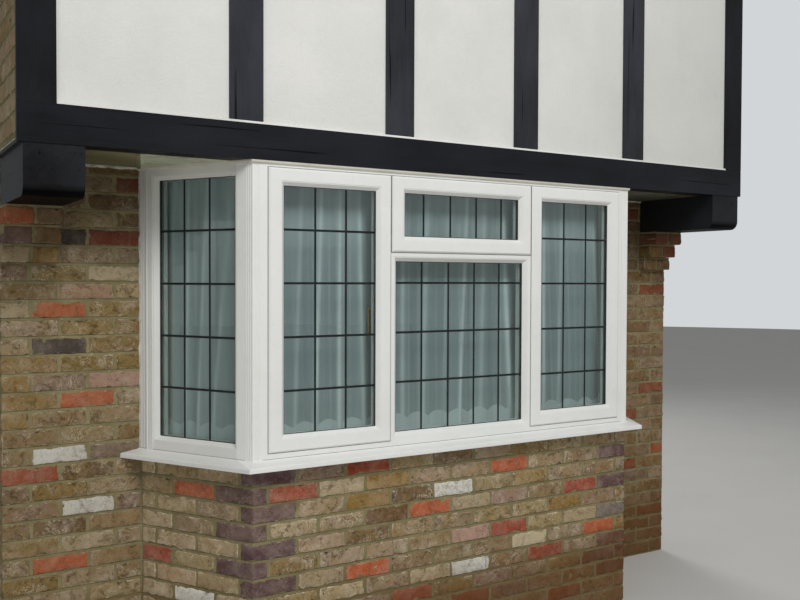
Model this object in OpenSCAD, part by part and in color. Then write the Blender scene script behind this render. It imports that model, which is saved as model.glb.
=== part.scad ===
// Bay window: three sided glazed bay on a brick base, under a projecting timber framed storey.
// Sizes in millimetres, +Z up, the street side faces -Y, the foot of the brickwork is at Z = 0.

/* [Brickwork] */
// Height of one brick course with its joint
course = 75; // [60:1:90]
// Courses from the ground to the underside of the sill
sill_courses = 12; // [6:1:16]
// Courses from the ground to the top of the piece
top_courses = 45; // [40:1:52]
// Thickness of one leaf of facing brick
brick_leaf = 102.5; // [90:0.5:120]
// Thickness of the inner leaf of blockwork
block_leaf = 100; // [75:5:150]
// Gap between the two leaves of the main wall
wall_cavity = 75; // [50:5:120]
// Gap between the two leaves of the bay base
bay_cavity = 50; // [40:5:80]

/* [Plan] */
// Half the width of the bay front, to the brick corner
bay_half = 1030; // [800:5:1500]
// Projection of the bay front from the main wall
bay_out = 520; // [350:1:800]
// Angle between the bay front and its slanted sides
splay = 60; // [45:1:75]
// Half the width of the main wall
wall_half = 1888; // [1700:1:2500]
// Depth kept behind the face of the main wall
keep_back = 340; // [300:5:600]

/* [Window frame] */
// Depth of the frame, front to back
frame_deep = 70; // [60:1:90]
// Face of the frame in front of the brickwork
frame_out = 8; // [0:1:20]
// Width of the face of the frame
frame_face = 38; // [30:1:60]
// Height of the frame above the sill
frame_high = 1205; // [900:5:1500]
// Distance from the bay centre line to the mullion centre
mullion_x = 391; // [300:1:500]
// Width of the mullions and of the transom
mullion_face = 32; // [28:1:60]
// Height of the transom underside above the foot of the frame
transom_up = 830; // [600:5:1000]
// Distance from the face of the frame to the stop behind the glass
stop_deep = 48; // [40:1:55]
// Width of that stop beyond the face of the frame
stop_face = 20; // [15:1:25]
// Length of frame lost to the corner post on the front
post_leg = 40; // [39:1:60]
// Clearance of the front frame at the corner posts
corner_gap = 2; // [1:0.5:6]
// Clearance of the side frame at the wall, closed by an infill strip
side_clear = 1; // [1:0.5:20]
// Setback of the infill strip behind the face of the frame
infill_back = 4; // [2:0.5:8]
// Width of each rib on the infill strip
rib_face = 4; // [2:0.5:8]
// Distance between those ribs
rib_step = 9; // [6:0.5:14]
// Radius of the flutes in the corner posts
flute_r = 2.5; // [1:0.25:4]
// Distance between flutes
flute_step = 9; // [6:0.5:10]
// Flutes on each face of a corner post
flutes = 3; // [1:1:3]

/* [Sash] */
// Overlap of the sash flange on the frame
sash_lap = 13; // [8:1:16]
// Thickness of the sash flange
sash_proud = 10; // [8:1:20]
// Width of the solid part of the sash
sash_face = 52; // [45:1:60]
// Width of the glazing bead in the sash
sash_bead = 18; // [12:1:22]
// Thickness of the sash behind the glass
sash_back = 14; // [10:1:18]
// Clearance round the sash body in the frame
sash_gap = 2; // [1:0.5:4]
// Chamfer on the outer edge of the sash flange
flange_cut = 7; // [0.5:0.5:9]

/* [Glass] */
// Thickness of one pane
pane = 4; // [3:0.5:6]
// Gap between the two panes
pane_gap = 16; // [12:1:20]
// Clearance round the glass in its rebate
glass_gap = 2; // [1:0.5:5]
// Width of the spacer bar between the panes
spacer_face = 10; // [6:1:14]
// Setback of the glazing bead behind the face
bead_back = 2; // [1:0.5:4]
// Flat strip on the face of the glazing bead
bead_flat = 4; // [2:0.5:8]
// Thickness of the glazing bead at the glass
bead_foot = 4; // [2:0.5:6]

/* [Sill] */
// Nose of the sill in front of the brickwork
sill_out = 80; // [60:1:120]
// Height of the sill at the frame
sill_high = 41; // [36:1:60]
// Height of the nose
nose_high = 20; // [14:1:26]
// Rise of the nose underside above the brickwork
nose_lift = 6; // [2:1:8]
// Flat of the sill before the face of the frame
sill_shelf = 8; // [4:1:12]
// Chamfer on the edges of the sill
sill_cut = 3; // [1:0.5:4]
// Distance from the nose to the drip groove
drip_in = 8; // [4:1:14]
// Width of the drip groove
drip_wide = 6; // [3:1:10]
// Depth of the drip groove
drip_deep = 5; // [2:1:8]

/* [Timber front] */
// Face of the timber front before the bay brickwork
timber_out = 20; // [0:1:60]
// Depth of the bressummer and of the posts
timber_deep = 100; // [75:5:200]
// Depth of the timber before the brick returns
board_deep = 25; // [15:1:50]
// Setback of the brick returns behind the ends of the bressummer
return_back = 4; // [0:1:20]
// Overhang of the bressummer past the corner of the wall
beam_over = 20; // [0:1:60]
// Height of the bressummer
beam_high = 141; // [100:1:250]
// Step in the top edge of the bressummer at its joint
beam_step = 3; // [0:1:6]
// Distance of that joint from the centre line
beam_joint = 830; // [0:5:1200]
// Width of the two corner posts
corner_face = 133; // [80:1:200]
// Width of the four studs between them
stud_face = 140; // [80:1:200]
// Distance from the centre line to the inner studs
stud_in = 352; // [250:1:600]
// Distance from the centre line to the outer studs
stud_side = 1062; // [850:1:1350]
// Setback of the rendered panels behind the timber
panel_back = 12; // [5:1:40]
// Height of the flashing on the bressummer
flash_high = 8; // [4:1:20]
// Nose of the flashing before the face of the timber
flash_out = 2; // [1:0.5:6]

/* [Brackets and soffit] */
// Width of the bracket under each end of the bressummer
bracket_wide = 210; // [150:1:300]
// Height of the bracket
bracket_high = 187; // [150:1:300]
// Radius of the lower front edge of the bracket
bracket_round = 44; // [20:1:100]
// Setback of the bracket end behind the face of the bressummer
bracket_back = 4; // [0:1:20]
// Thickness of the soffit board
soffit_thick = 12; // [9:1:25]
// Outward lean of the strip over the soffit joint, from the wall to the bressummer
strip_lean = 124; // [0:1:200]
// Width of that strip
strip_face = 33; // [15:1:50]
// Thickness of that strip
strip_thick = 6; // [3:1:8]
// Projection of the trim along the head of the frames
trim_out = 10; // [6:1:20]
// Height of the trim along the head of the frames
trim_high = 12; // [8:1:20]
// Straight edge on the trim
trim_edge = 3; // [1:0.5:5]

/* [Floor and lintels] */
// Thickness of one joist
joist_thick = 47; // [38:1:75]
// Distance between joists
joist_step = 400; // [300:10:600]
// Least clearance of a joist at the brick returns
joist_clear = 10; // [5:1:50]
// Thickness of the floor boards
deck_thick = 22; // [15:1:30]
// Height of the lintels over the opening into the room
lintel_high = 140; // [100:5:225]
// Bearing of the lintels at each end
lintel_seat = 150; // [100:5:200]

/* [Inside] */
// Thickness of the board on the inner leaf of the bay
board_thick = 25; // [18:1:38]
// Overhang of that board into the room
board_out = 20; // [10:1:40]
// Chamfer on the nose of that board
board_cut = 6; // [2:1:8]
// Length of the handle lever
lever_long = 110; // [80:1:140]
// Width of the handle lever
lever_wide = 18; // [14:1:24]
// Thickness of the handle lever
lever_thick = 12; // [8:1:16]
// Length of the handle neck
neck_long = 26; // [16:1:30]
// Width of the handle plate
plate_wide = 28; // [24:1:40]
// Length of the handle plate
plate_long = 120; // [80:1:160]
// Thickness of the handle plate
plate_thick = 10; // [6:1:12]
// Radius of the curtain rail
rail_r = 6; // [4:0.5:10]
// Distance from the back of the frame to the middle of the front curtain rail
rail_in = 53; // [50:1:90]
// Distance from the back of the frame to the middle of the side curtain rails
side_rail_in = 18; // [14:1:60]
// Distance from the head of the frame down to the middle of the curtain rail
rail_down = 26; // [15:1:40]
// Radius of the curtain rail brackets
rail_pin_r = 4; // [3:0.5:6]
// Thickness drawn for the net curtains
net_thick = 1.5; // [1:0.5:3]
// Half the depth of a fold in the curtains
net_fold = 9; // [3:1:10]
// Distance between folds
net_step = 90; // [50:5:150]
// Clearance at the ends of each curtain
net_end = 12; // [8:1:80]
// Clearance under the curtains
net_under = 15; // [5:1:60]
// Clearance between the curtains and their rail
net_seat = 0.3; // [0.1:0.1:0.9]

/* [Hidden] */
$fn = 48;
far = 6000;
spare = 1;
arc_step = 15;
stations = 4;
points_per_fold = 8;
sill_z = sill_courses * course;
top_z = top_courses * course;
frame_z = sill_z + sill_high;
head_z = frame_z + frame_high;
beam_top = head_z + beam_high;
beam_half = wall_half + beam_over;
wall_top = head_z + soffit_thick;
back_y = bay_out + keep_back;
mid_y = (back_y - sill_out) / 2;
turn = tan(splay / 2);
open_in = brick_leaf + bay_cavity + block_leaf;
frame_in = frame_deep - frame_out;
frame_half = bay_half - frame_in * turn - corner_gap;
side_from = post_leg;
side_to = (bay_out - frame_in * cos(splay)) / sin(splay) - side_clear;
side_mid = (side_from + side_to) / 2;
light_wide = side_to - side_from;
frame_inner = frame_face - sash_lap;
mullion_inner = mullion_x + mullion_face / 2;
sash_from = mullion_inner - sash_lap;
sash_wide = frame_half - frame_inner - sash_from;
sash_mid = (frame_half - frame_inner + sash_from) / 2;
sash_low = frame_z + frame_inner;
sash_top = head_z - frame_inner;
sash_high = sash_top - sash_low;
vent_wide = 2 * (mullion_x - mullion_face / 2 + sash_lap);
vent_low = frame_z + transom_up + mullion_face - sash_lap;
vent_high = sash_top - vent_low;
fixed_wide = 2 * mullion_x - mullion_face;
fixed_high = transom_up - frame_face;
stop_edge = frame_face + stop_face;
sash_edge = sash_face + sash_bead;
unit = pane * 2 + pane_gap;
sash_glass = stop_deep - sash_back - unit;
fixed_glass = stop_deep - unit;
sash_pane_cut = 2 * (sash_face + glass_gap);
light_pane_cut = 2 * (frame_face + glass_gap);
fixed_pane_cut = 2 * glass_gap;
timber_back = timber_deep - timber_out;
board_back = board_deep - timber_out;
return_out = beam_half - return_back;
return_in = return_out - brick_leaf;
rail_y = frame_in + rail_in;
side_rail_y = frame_in + side_rail_in;
rail_z = head_z - rail_down;

// Corner of the bay in plan at a distance behind its brick face
function corner_at(deep) = [bay_half - deep * turn, deep];

// Where a line at that distance meets the main wall
function wall_at(deep) = [bay_half - deep * turn + (bay_out - deep) / tan(splay), bay_out];

function mirrored(p) = [-p[0], p[1]];

// Plan of a band that follows the three sides of the bay between two distances
function band(near, deep) = [mirrored(wall_at(near)), mirrored(corner_at(near)), corner_at(near),
    wall_at(near), wall_at(deep), corner_at(deep), mirrored(corner_at(deep)),
    mirrored(wall_at(deep))];

open_half = wall_at(open_in)[0];

// Section of the outer frame, as inward distance and depth
frame_section = [[0, 0], [frame_face, 0], [frame_face, stop_deep],
    [stop_edge, stop_deep], [stop_edge, frame_deep], [0, frame_deep]];
// Section of a sash, with its flange in front of the frame
sash_section = [[0, flange_cut - sash_proud], [flange_cut, -sash_proud],
    [sash_face, -sash_proud], [sash_face, sash_glass + unit], [sash_edge, sash_glass + unit],
    [sash_edge, stop_deep], [sash_lap + sash_gap, stop_deep], [sash_lap + sash_gap, 0], [0, 0]];
// Section of a glazing bead: inner edge of its frame, outer edge, face and depth of the glass
function bead_section(from, edge, face, deep) = [[from, face + bead_back],
    [from + bead_flat, face + bead_back], [edge, deep - bead_foot], [edge, deep], [from, deep]];

module place() {
    translate([0, -mid_y, 0]) children();
}

module both_sides() {
    children();
    mirror([1, 0, 0]) children();
}

module right_side() {
    translate([bay_half, 0, 0]) rotate([0, 0, splay]) children();
}

// Straight run of a section given as projection and height, along X
module run(section) {
    translate([-far / 2, 0, 0]) rotate([90, 0, 90]) linear_extrude(far)
        polygon([for (p = section) [-p[0], p[1]]]);
}

// Plan wedge that mitres a run of the bay front at both corners
module front_wedge() {
    linear_extrude(far)
        polygon([mirrored(corner_at(-bay_out)), corner_at(-bay_out), corner_at(bay_out),
            mirrored(corner_at(bay_out))]);
}

// Plan wedge of the right side of the bay, from that mitre to the main wall
module side_wedge() {
    linear_extrude(far)
        polygon([corner_at(-bay_out), [far, -bay_out], [far, bay_out], corner_at(bay_out)]);
}

module front_run(section) {
    intersection() {
        run(section);
        front_wedge();
    }
}

module right_run(section) {
    intersection() {
        right_side() run(section);
        side_wedge();
    }
}

module left_run(section) {
    mirror([1, 0, 0]) right_run(section);
}

// Plan point at a distance before the brick face, on the way round the bay from wall to wall
function plan_at(station, before) = station == 0 ? mirrored(wall_at(-before))
    : station == 1 ? mirrored(corner_at(-before))
    : station == 2 ? corner_at(-before) : wall_at(-before);

// Section carried round all three sides of the bay in one piece
module bay_sweep(section) {
    count = len(section);
    last = (stations - 1) * count;
    polyhedron([for (k = [0:stations - 1], p = section) concat(plan_at(k, p[0]), p[1])],
        concat([[for (i = [0:count - 1]) i]], [[for (i = [count - 1:-1:0]) last + i]],
            [for (k = [0:stations - 2], i = [0:count - 1]) let (j = (i + 1) % count)
                [k * count + j, k * count + i, (k + 1) * count + i, (k + 1) * count + j]]));
}

// One side of a mitred ring, its outer edge on the line Z = -off
module ring_bar(long, off, section, cut) {
    intersection() {
        translate([-long / 2, 0, -off]) rotate([90, 0, 90]) linear_extrude(long)
            polygon([for (p = section) [p[1], p[0]]]);
        translate([0, far / 2, -off]) rotate([90, 0, 0]) linear_extrude(far)
            polygon([[-long / 2, 0], [long / 2, 0], [long / 2 - cut, cut], [cut - long / 2, cut]]);
    }
}

// Mitred ring of a section, centred on X and Z
module ring(wide, high, section) {
    cut = max([for (p = section) p[0]]) + spare;
    for (side = [0, 1]) {
        rotate([0, 180 * side, 0]) ring_bar(wide, high / 2, section, cut);
        rotate([0, 90 + 180 * side, 0]) ring_bar(high, wide / 2, section, cut);
    }
}

// Two panes with the gap between them
module panes(wide, high, deep) {
    for (layer = [0, pane + pane_gap])
        translate([-wide / 2, deep + layer, -high / 2]) cube([wide, pane, high]);
}

// Spacer bar round the edge of two panes
module spacer(wide, high, deep) {
    front = deep + pane;
    ring(wide, high, [[0, front], [spacer_face, front], [spacer_face, front + pane_gap],
        [0, front + pane_gap]]);
}

// Places children at the middle of each light of the window
module at_right_sash() {
    translate([sash_mid, -frame_out, (sash_low + sash_top) / 2]) children();
}

module at_left_sash() {
    translate([-sash_mid, -frame_out, (sash_low + sash_top) / 2]) children();
}

module at_opener() {
    translate([0, -frame_out, (vent_low + sash_top) / 2]) children();
}

module at_fixed() {
    translate([0, -frame_out, frame_z + (frame_face + transom_up) / 2]) children();
}

module at_right_light() {
    right_side() translate([side_mid, -frame_out, (frame_z + head_z) / 2]) children();
}

module at_left_light() {
    mirror([1, 0, 0]) at_right_light() children();
}

// Brick leaf of the main wall on the right, with its return round the corner
module main_leaf() {
    difference() {
        union() {
            translate([open_half, bay_out, 0])
                cube([wall_half - open_half, brick_leaf, wall_top]);
            translate([wall_half - brick_leaf, bay_out, 0])
                cube([brick_leaf, keep_back, wall_top]);
        }
        translate([open_half - spare, bay_out - spare, wall_top - lintel_high])
            cube([lintel_seat + spare, brick_leaf + 2 * spare, lintel_high + spare]);
    }
}

module wall_left() {
    color("tan") mirror([1, 0, 0]) main_leaf();
}

module wall_right() {
    color("tan") main_leaf();
}

// Block leaf behind it, closing the gap at the opening
module main_inner_leaf() {
    inner_y = bay_out + brick_leaf + wall_cavity;
    end_x = wall_half - brick_leaf - wall_cavity;
    difference() {
        union() {
            translate([open_half, inner_y, 0])
                cube([end_x - open_half, block_leaf, wall_top]);
            translate([open_half, bay_out + brick_leaf, 0])
                cube([block_leaf, wall_cavity, wall_top]);
            translate([end_x - block_leaf, inner_y, 0])
                cube([block_leaf, back_y - inner_y, wall_top]);
        }
        translate([open_half - spare, bay_out, wall_top - lintel_high])
            cube([lintel_seat + spare, keep_back, lintel_high + spare]);
    }
}

module inner_wall_left() {
    color("lightgray") mirror([1, 0, 0]) main_inner_leaf();
}

module inner_wall_right() {
    color("lightgray") main_inner_leaf();
}

base_section = [[0, 0], [0, sill_z], [-brick_leaf, sill_z], [-brick_leaf, 0]];

module bay_brick_left() {
    color("tan") left_run(base_section);
}

module bay_brick_front() {
    color("tan") front_run(base_section);
}

module bay_brick_right() {
    color("tan") right_run(base_section);
}

module inner_wall_bay() {
    color("lightgray") linear_extrude(sill_z) polygon(band(brick_leaf + bay_cavity, open_in));
}

module lintels() {
    color("gray") for (y = [bay_out, bay_out + brick_leaf + wall_cavity])
        translate([-open_half - lintel_seat, y, wall_top - lintel_high])
            cube([2 * (open_half + lintel_seat), block_leaf, lintel_high]);
}

// Board on the inner leaf with a chamfered nose to the room
module window_board() {
    nose = open_in + board_out;
    board_top = sill_z + board_thick;
    color("white") bay_sweep([[-frame_in, sill_z], [-frame_in, board_top],
        [board_cut - nose, board_top], [-nose, board_top - board_cut],
        [-nose, sill_z + board_cut], [board_cut - nose, sill_z]]);
}

// Sill with a sloping top, an upstand under the frame and a drip groove
nose_z = sill_z + nose_lift;
sill_section = [[-frame_in, sill_z], [-frame_in, frame_z],
    [frame_out + sill_shelf - sill_cut, frame_z], [frame_out + sill_shelf, frame_z - sill_cut],
    [sill_out - sill_cut, nose_z + nose_high], [sill_out, nose_z + nose_high - sill_cut],
    [sill_out, nose_z], [sill_out - drip_in, nose_z], [sill_out - drip_in, nose_z + drip_deep],
    [sill_out - drip_in - drip_wide, nose_z + drip_deep],
    [sill_out - drip_in - drip_wide, nose_z], [2 * nose_lift, nose_z], [nose_lift, sill_z]];

module sill_left() {
    color("white") left_run(sill_section);
}

module sill_front() {
    color("white") front_run(sill_section);
}

module sill_right() {
    color("white") right_run(sill_section);
}

// A point on a line at a distance before the brick face of the right side
function on_side(along, before) = [bay_half + along * cos(splay) + before * sin(splay),
    along * sin(splay) - before * cos(splay)];

// Fluted post in the angle between the front frame and a side frame
module corner_pole() {
    edge = frame_out * turn;
    difference() {
        translate([0, 0, frame_z]) linear_extrude(frame_high)
            polygon([[frame_half, -frame_out], [bay_half + edge, -frame_out],
                on_side(side_from, frame_out), on_side(side_from, -frame_in),
                [frame_half, frame_in]]);
        for (i = [1:flutes]) {
            translate([bay_half + edge - i * flute_step, -frame_out, frame_z - spare])
                cylinder(h = frame_high + 2 * spare, r = flute_r);
            right_side() translate([i * flute_step - edge, -frame_out, frame_z - spare])
                cylinder(h = frame_high + 2 * spare, r = flute_r);
        }
    }
}

module corner_pole_left() {
    color("white") mirror([1, 0, 0]) corner_pole();
}

module corner_pole_right() {
    color("white") corner_pole();
}

// Fixed side light, with the ribbed infill strip that closes it to the wall
module side_frame() {
    at_right_light() ring(light_wide, frame_high, frame_section);
    intersection() {
        right_side() translate([side_to, -frame_out, frame_z]) union() {
            translate([-spare, infill_back, 0])
                cube([2 * frame_deep, frame_deep - infill_back, frame_high]);
            for (i = [1:2])
                translate([i * rib_step - rib_face, 0, 0])
                    cube([rib_face, infill_back + spare, frame_high]);
        }
        side_wedge();
    }
}

module frame_left() {
    color("white") mirror([1, 0, 0]) side_frame();
}

module frame_right() {
    color("white") side_frame();
}

// Front frame: ring, two mullions and the transom of the middle light
module frame_front() {
    foot = frame_z + frame_face - spare;
    rise = frame_high - 2 * (frame_face - spare);
    stop_thick = frame_deep - stop_deep;
    color("white") translate([0, -frame_out, 0]) {
        translate([0, 0, (frame_z + head_z) / 2]) ring(2 * frame_half, frame_high, frame_section);
        for (x = [-mullion_x, mullion_x]) {
            translate([x - mullion_face / 2, 0, foot]) cube([mullion_face, frame_deep, rise]);
            translate([x - mullion_face / 2 - stop_face, stop_deep, foot])
                cube([mullion_face + 2 * stop_face, stop_thick, rise]);
        }
        translate([-mullion_x, 0, frame_z + transom_up])
            cube([2 * mullion_x, frame_deep, mullion_face]);
        translate([-mullion_x, stop_deep, frame_z + transom_up - stop_face])
            cube([2 * mullion_x, stop_thick, mullion_face + 2 * stop_face]);
    }
}

module casement_left() {
    color("whitesmoke") at_left_sash() ring(sash_wide, sash_high, sash_section);
}

module casement_right() {
    color("whitesmoke") at_right_sash() ring(sash_wide, sash_high, sash_section);
}

module top_opener() {
    color("whitesmoke") at_opener() ring(vent_wide, vent_high, sash_section);
}

module light_panes() {
    panes(light_wide - light_pane_cut, frame_high - light_pane_cut, fixed_glass);
}

module sash_panes() {
    panes(sash_wide - sash_pane_cut, sash_high - sash_pane_cut, sash_glass);
}

module glass_side_left() {
    color("lightblue") at_left_light() light_panes();
}

module glass_side_right() {
    color("lightblue") at_right_light() light_panes();
}

module glass_casement_left() {
    color("lightblue") at_left_sash() sash_panes();
}

module glass_casement_right() {
    color("lightblue") at_right_sash() sash_panes();
}

module glass_opener() {
    color("lightblue") at_opener()
        panes(vent_wide - sash_pane_cut, vent_high - sash_pane_cut, sash_glass);
}

module glass_fixed() {
    color("lightblue") at_fixed()
        panes(fixed_wide - fixed_pane_cut, fixed_high - fixed_pane_cut, fixed_glass);
}

module glazing_beads() {
    light_bead = bead_section(frame_face, stop_edge, 0, fixed_glass);
    sash_bead_ring = bead_section(sash_face, sash_edge, -sash_proud, sash_glass);
    color("snow") {
        at_left_light() ring(light_wide, frame_high, light_bead);
        at_right_light() ring(light_wide, frame_high, light_bead);
        at_left_sash() ring(sash_wide, sash_high, sash_bead_ring);
        at_right_sash() ring(sash_wide, sash_high, sash_bead_ring);
        at_opener() ring(vent_wide, vent_high, sash_bead_ring);
        at_fixed() ring(fixed_wide, fixed_high, bead_section(0, stop_face, 0, fixed_glass));
    }
}

module glass_spacers() {
    color("dimgray") {
        for (side = [0, 1]) mirror([side, 0, 0]) {
            at_right_light()
                spacer(light_wide - light_pane_cut, frame_high - light_pane_cut, fixed_glass);
            at_right_sash()
                spacer(sash_wide - sash_pane_cut, sash_high - sash_pane_cut, sash_glass);
        }
        at_opener() spacer(vent_wide - sash_pane_cut, vent_high - sash_pane_cut, sash_glass);
        at_fixed() spacer(fixed_wide - fixed_pane_cut, fixed_high - fixed_pane_cut, fixed_glass);
    }
}

// Handle on the room side: back plate, neck and lever hanging down
module handle() {
    lever_y = stop_deep + plate_thick + neck_long;
    translate([-plate_wide / 2, stop_deep, -plate_long / 2])
        cube([plate_wide, plate_thick, plate_long]);
    translate([0, stop_deep, 0]) rotate([-90, 0, 0])
        cylinder(h = plate_thick + neck_long + lever_thick, r = lever_wide / 2);
    translate([-lever_wide / 2, lever_y, -lever_long]) cube([lever_wide, lever_thick, lever_long]);
    translate([0, lever_y, -lever_long]) rotate([-90, 0, 0])
        cylinder(h = lever_thick, r = lever_wide / 2);
}

module window_handles() {
    edge = (sash_lap + stop_face + sash_edge) / 2;
    color("goldenrod") {
        at_left_sash() translate([sash_wide / 2 - edge, 0, 0]) handle();
        at_right_sash() translate([edge - sash_wide / 2, 0, 0]) handle();
        at_opener() translate([0, 0, edge - vent_high / 2]) rotate([0, 90, 0]) handle();
    }
}

// Length of round rail along X at a distance behind the brick face, on its bracket
module rail(from, to, back, pin_x) {
    translate([from, back, rail_z]) rotate([0, 90, 0]) cylinder(h = to - from, r = rail_r);
    for (x = pin_x)
        translate([x, frame_in, rail_z]) rotate([-90, 0, 0])
            cylinder(h = back - frame_in, r = rail_pin_r);
}

front_net_half = corner_at(rail_y)[0] - net_end;
side_net_from = side_rail_y * turn + net_end;
side_net_to = (bay_out - side_rail_y * cos(splay)) / sin(splay) - net_end;

module curtain_rail() {
    color("white") {
        rail(-front_net_half, front_net_half, rail_y, [-mullion_x, mullion_x]);
        both_sides() right_side() rail(side_net_from, side_net_to, side_rail_y, [side_mid]);
    }
}

// Net curtain hanging in even folds along X, from the first to the last distance
module net(from, to, back) {
    folds = round((to - from) / net_step);
    steps = folds * points_per_fold;
    line = [for (i = [0:steps]) [from + (to - from) * i / steps,
        back + net_fold * sin(360 * folds * i / steps)]];
    low = sill_z + board_thick + net_under;
    translate([0, 0, low]) linear_extrude(rail_z - rail_r - net_seat - low)
        polygon(concat([for (p = line) [p[0], p[1] - net_thick / 2]],
            [for (i = [steps:-1:0]) [line[i][0], line[i][1] + net_thick / 2]]));
}

module net_curtains() {
    color("white") {
        net(-front_net_half, front_net_half, rail_y);
        both_sides() right_side() net(side_net_from, side_net_to, side_rail_y);
    }
}

// Quarter round between the frames and the soffit
module head_trim() {
    low = head_z - trim_high;
    round_section = concat([[frame_out, head_z], [frame_out, low]],
        [for (a = [0:arc_step:90]) [frame_out + trim_edge + (trim_out - trim_edge) * sin(a),
            head_z - trim_edge - (trim_high - trim_edge) * cos(a)]],
        [[frame_out + trim_out, head_z]]);
    color("white") bay_sweep(round_section);
}

// Soffit board between the bressummer and the wall
module soffit() {
    color("beige") {
        translate([-return_in, timber_back, head_z])
            cube([2 * return_in, bay_out - timber_back, soffit_thick]);
        both_sides() soffit_strip();
    }
}

// Strip over a joint of the board, from the corner of bay and wall out to the bressummer
module soffit_strip() {
    x = wall_at(0)[0] - strip_face / 2;
    difference() {
        translate([0, 0, head_z - strip_thick]) linear_extrude(strip_thick + spare)
            polygon([[x, bay_out], [x + strip_face, bay_out],
                [x + strip_face + strip_lean, timber_back], [x + strip_lean, timber_back]]);
        right_side() translate([-far / 2, -frame_out - trim_out - spare, 0])
            cube([far, far, far]);
    }
}

// Joist end with a rounded lower edge under the end of the bressummer
module bracket() {
    from_y = bracket_back - timber_out;
    foot = head_z - bracket_high;
    translate([wall_half - bracket_wide, 0, 0]) rotate([90, 0, 90]) linear_extrude(bracket_wide)
        union() {
            translate([from_y, foot + bracket_round])
                square([bay_out - from_y, bracket_high - bracket_round]);
            translate([from_y + bracket_round, foot])
                square([bay_out - from_y - bracket_round, bracket_high]);
            translate([from_y + bracket_round, foot + bracket_round]) circle(r = bracket_round);
        }
}

module brackets() {
    color("dimgray") both_sides() bracket();
}

// Length of the bressummer, thinner before the brick returns
module beam_length(from, to, high) {
    core_from = max(from, -return_in);
    translate([from, -timber_out, head_z]) cube([to - from, board_deep, high]);
    translate([core_from, -timber_out, head_z])
        cube([min(to, return_in) - core_from, timber_deep, high]);
}

// Bressummer in two lengths, the left one a little lower at its top edge
module bressummer() {
    color("dimgray") {
        beam_length(-beam_half, 0, beam_high - beam_step);
        beam_length(-beam_joint, beam_half, beam_high);
    }
}

// Plates on the brackets that carry the brick returns
module side_plates() {
    color("dimgray") both_sides() translate([return_in, board_back, head_z])
        cube([brick_leaf, bay_out - board_back, soffit_thick]);
}

module floor_joists() {
    reach = wall_half - brick_leaf - joist_clear - joist_thick / 2;
    each_side = floor(reach / joist_step);
    color("burlywood") for (i = [-each_side:each_side])
        translate([i * joist_step - joist_thick / 2, timber_back, wall_top])
            cube([joist_thick, back_y - timber_back, beam_top - wall_top]);
}

module floor_deck() {
    color("burlywood") translate([-return_in, timber_back, beam_top])
        cube([2 * return_in, back_y - timber_back, deck_thick]);
}

// Strip of flashing on the bressummer, with its nose before the timber
module flashing() {
    half = beam_half - corner_face;
    color("white") translate([-half, -timber_out - flash_out, beam_top])
        cube([2 * half, timber_deep + flash_out, flash_high]);
}

// Corner post, thinner before its brick return
module corner_post(drop) {
    long = top_z - beam_top + drop;
    inner = beam_half - corner_face;
    translate([inner, -timber_out, beam_top - drop]) {
        cube([corner_face, board_deep, long]);
        cube([return_in - inner, timber_deep, long]);
    }
}

module corner_post_left() {
    color("dimgray") mirror([1, 0, 0]) corner_post(beam_step);
}

module corner_post_right() {
    color("dimgray") corner_post(0);
}

module studs() {
    foot = beam_top + flash_high;
    color("dimgray") for (x = [-stud_side, -stud_in, stud_in, stud_side])
        translate([x - stud_face / 2, -timber_out, foot])
            cube([stud_face, timber_deep, top_z - foot]);
}

// Rendered panels that fill the spaces between the timbers
module render_panels() {
    half = stud_face / 2;
    edge = beam_half - corner_face;
    foot = beam_top + flash_high;
    from = [-edge, half - stud_side, half - stud_in, half + stud_in, half + stud_side];
    color("ivory") for (i = [0:len(from) - 1]) {
        to = -from[len(from) - 1 - i];
        translate([from[i], panel_back - timber_out, foot])
            cube([to - from[i], timber_deep - panel_back, top_z - foot]);
    }
}

// Brick returns of the upper storey behind the timber at its ends
module brick_returns() {
    color("tan") both_sides() translate([return_in, board_back, wall_top])
        cube([brick_leaf, back_y - board_back, top_z - wall_top]);
}

place() wall_left();
place() wall_right();
place() bay_brick_left();
place() bay_brick_front();
place() bay_brick_right();
place() inner_wall_left();
place() inner_wall_right();
place() inner_wall_bay();
place() lintels();
place() window_board();
place() sill_left();
place() sill_front();
place() sill_right();
place() corner_pole_left();
place() corner_pole_right();
place() frame_left();
place() frame_front();
place() frame_right();
place() casement_left();
place() casement_right();
place() top_opener();
place() glass_side_left();
place() glass_side_right();
place() glass_casement_left();
place() glass_casement_right();
place() glass_opener();
place() glass_fixed();
place() glazing_beads();
place() glass_spacers();
place() window_handles();
place() curtain_rail();
place() net_curtains();
place() head_trim();
place() soffit();
place() brackets();
place() bressummer();
place() side_plates();
place() floor_joists();
place() floor_deck();
place() flashing();
place() corner_post_left();
place() corner_post_right();
place() studs();
place() render_panels();
place() brick_returns();
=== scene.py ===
"""Bay window: facing bricks, leads, nets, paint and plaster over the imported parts."""
import math
import random

import bmesh
import bpy
from mathutils import Matrix, Vector, noise


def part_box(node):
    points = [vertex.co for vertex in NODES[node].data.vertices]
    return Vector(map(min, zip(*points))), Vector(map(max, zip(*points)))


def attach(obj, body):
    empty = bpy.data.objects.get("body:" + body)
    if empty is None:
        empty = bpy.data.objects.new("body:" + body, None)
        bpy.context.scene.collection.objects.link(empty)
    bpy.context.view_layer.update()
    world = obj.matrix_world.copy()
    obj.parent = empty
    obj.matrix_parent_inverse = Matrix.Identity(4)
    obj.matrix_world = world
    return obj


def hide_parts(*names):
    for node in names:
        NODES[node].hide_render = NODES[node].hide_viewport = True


bl_info = {
    "name": "Bay Window",
    "version": (1, 0, 0),
    "blender": (4, 5, 0),
    "location": "View3D > Sidebar > Bay Window",
    "description": "Facing bricks, leads, nets, paint and plaster of a bay window",
    "category": "Object",
}

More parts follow.
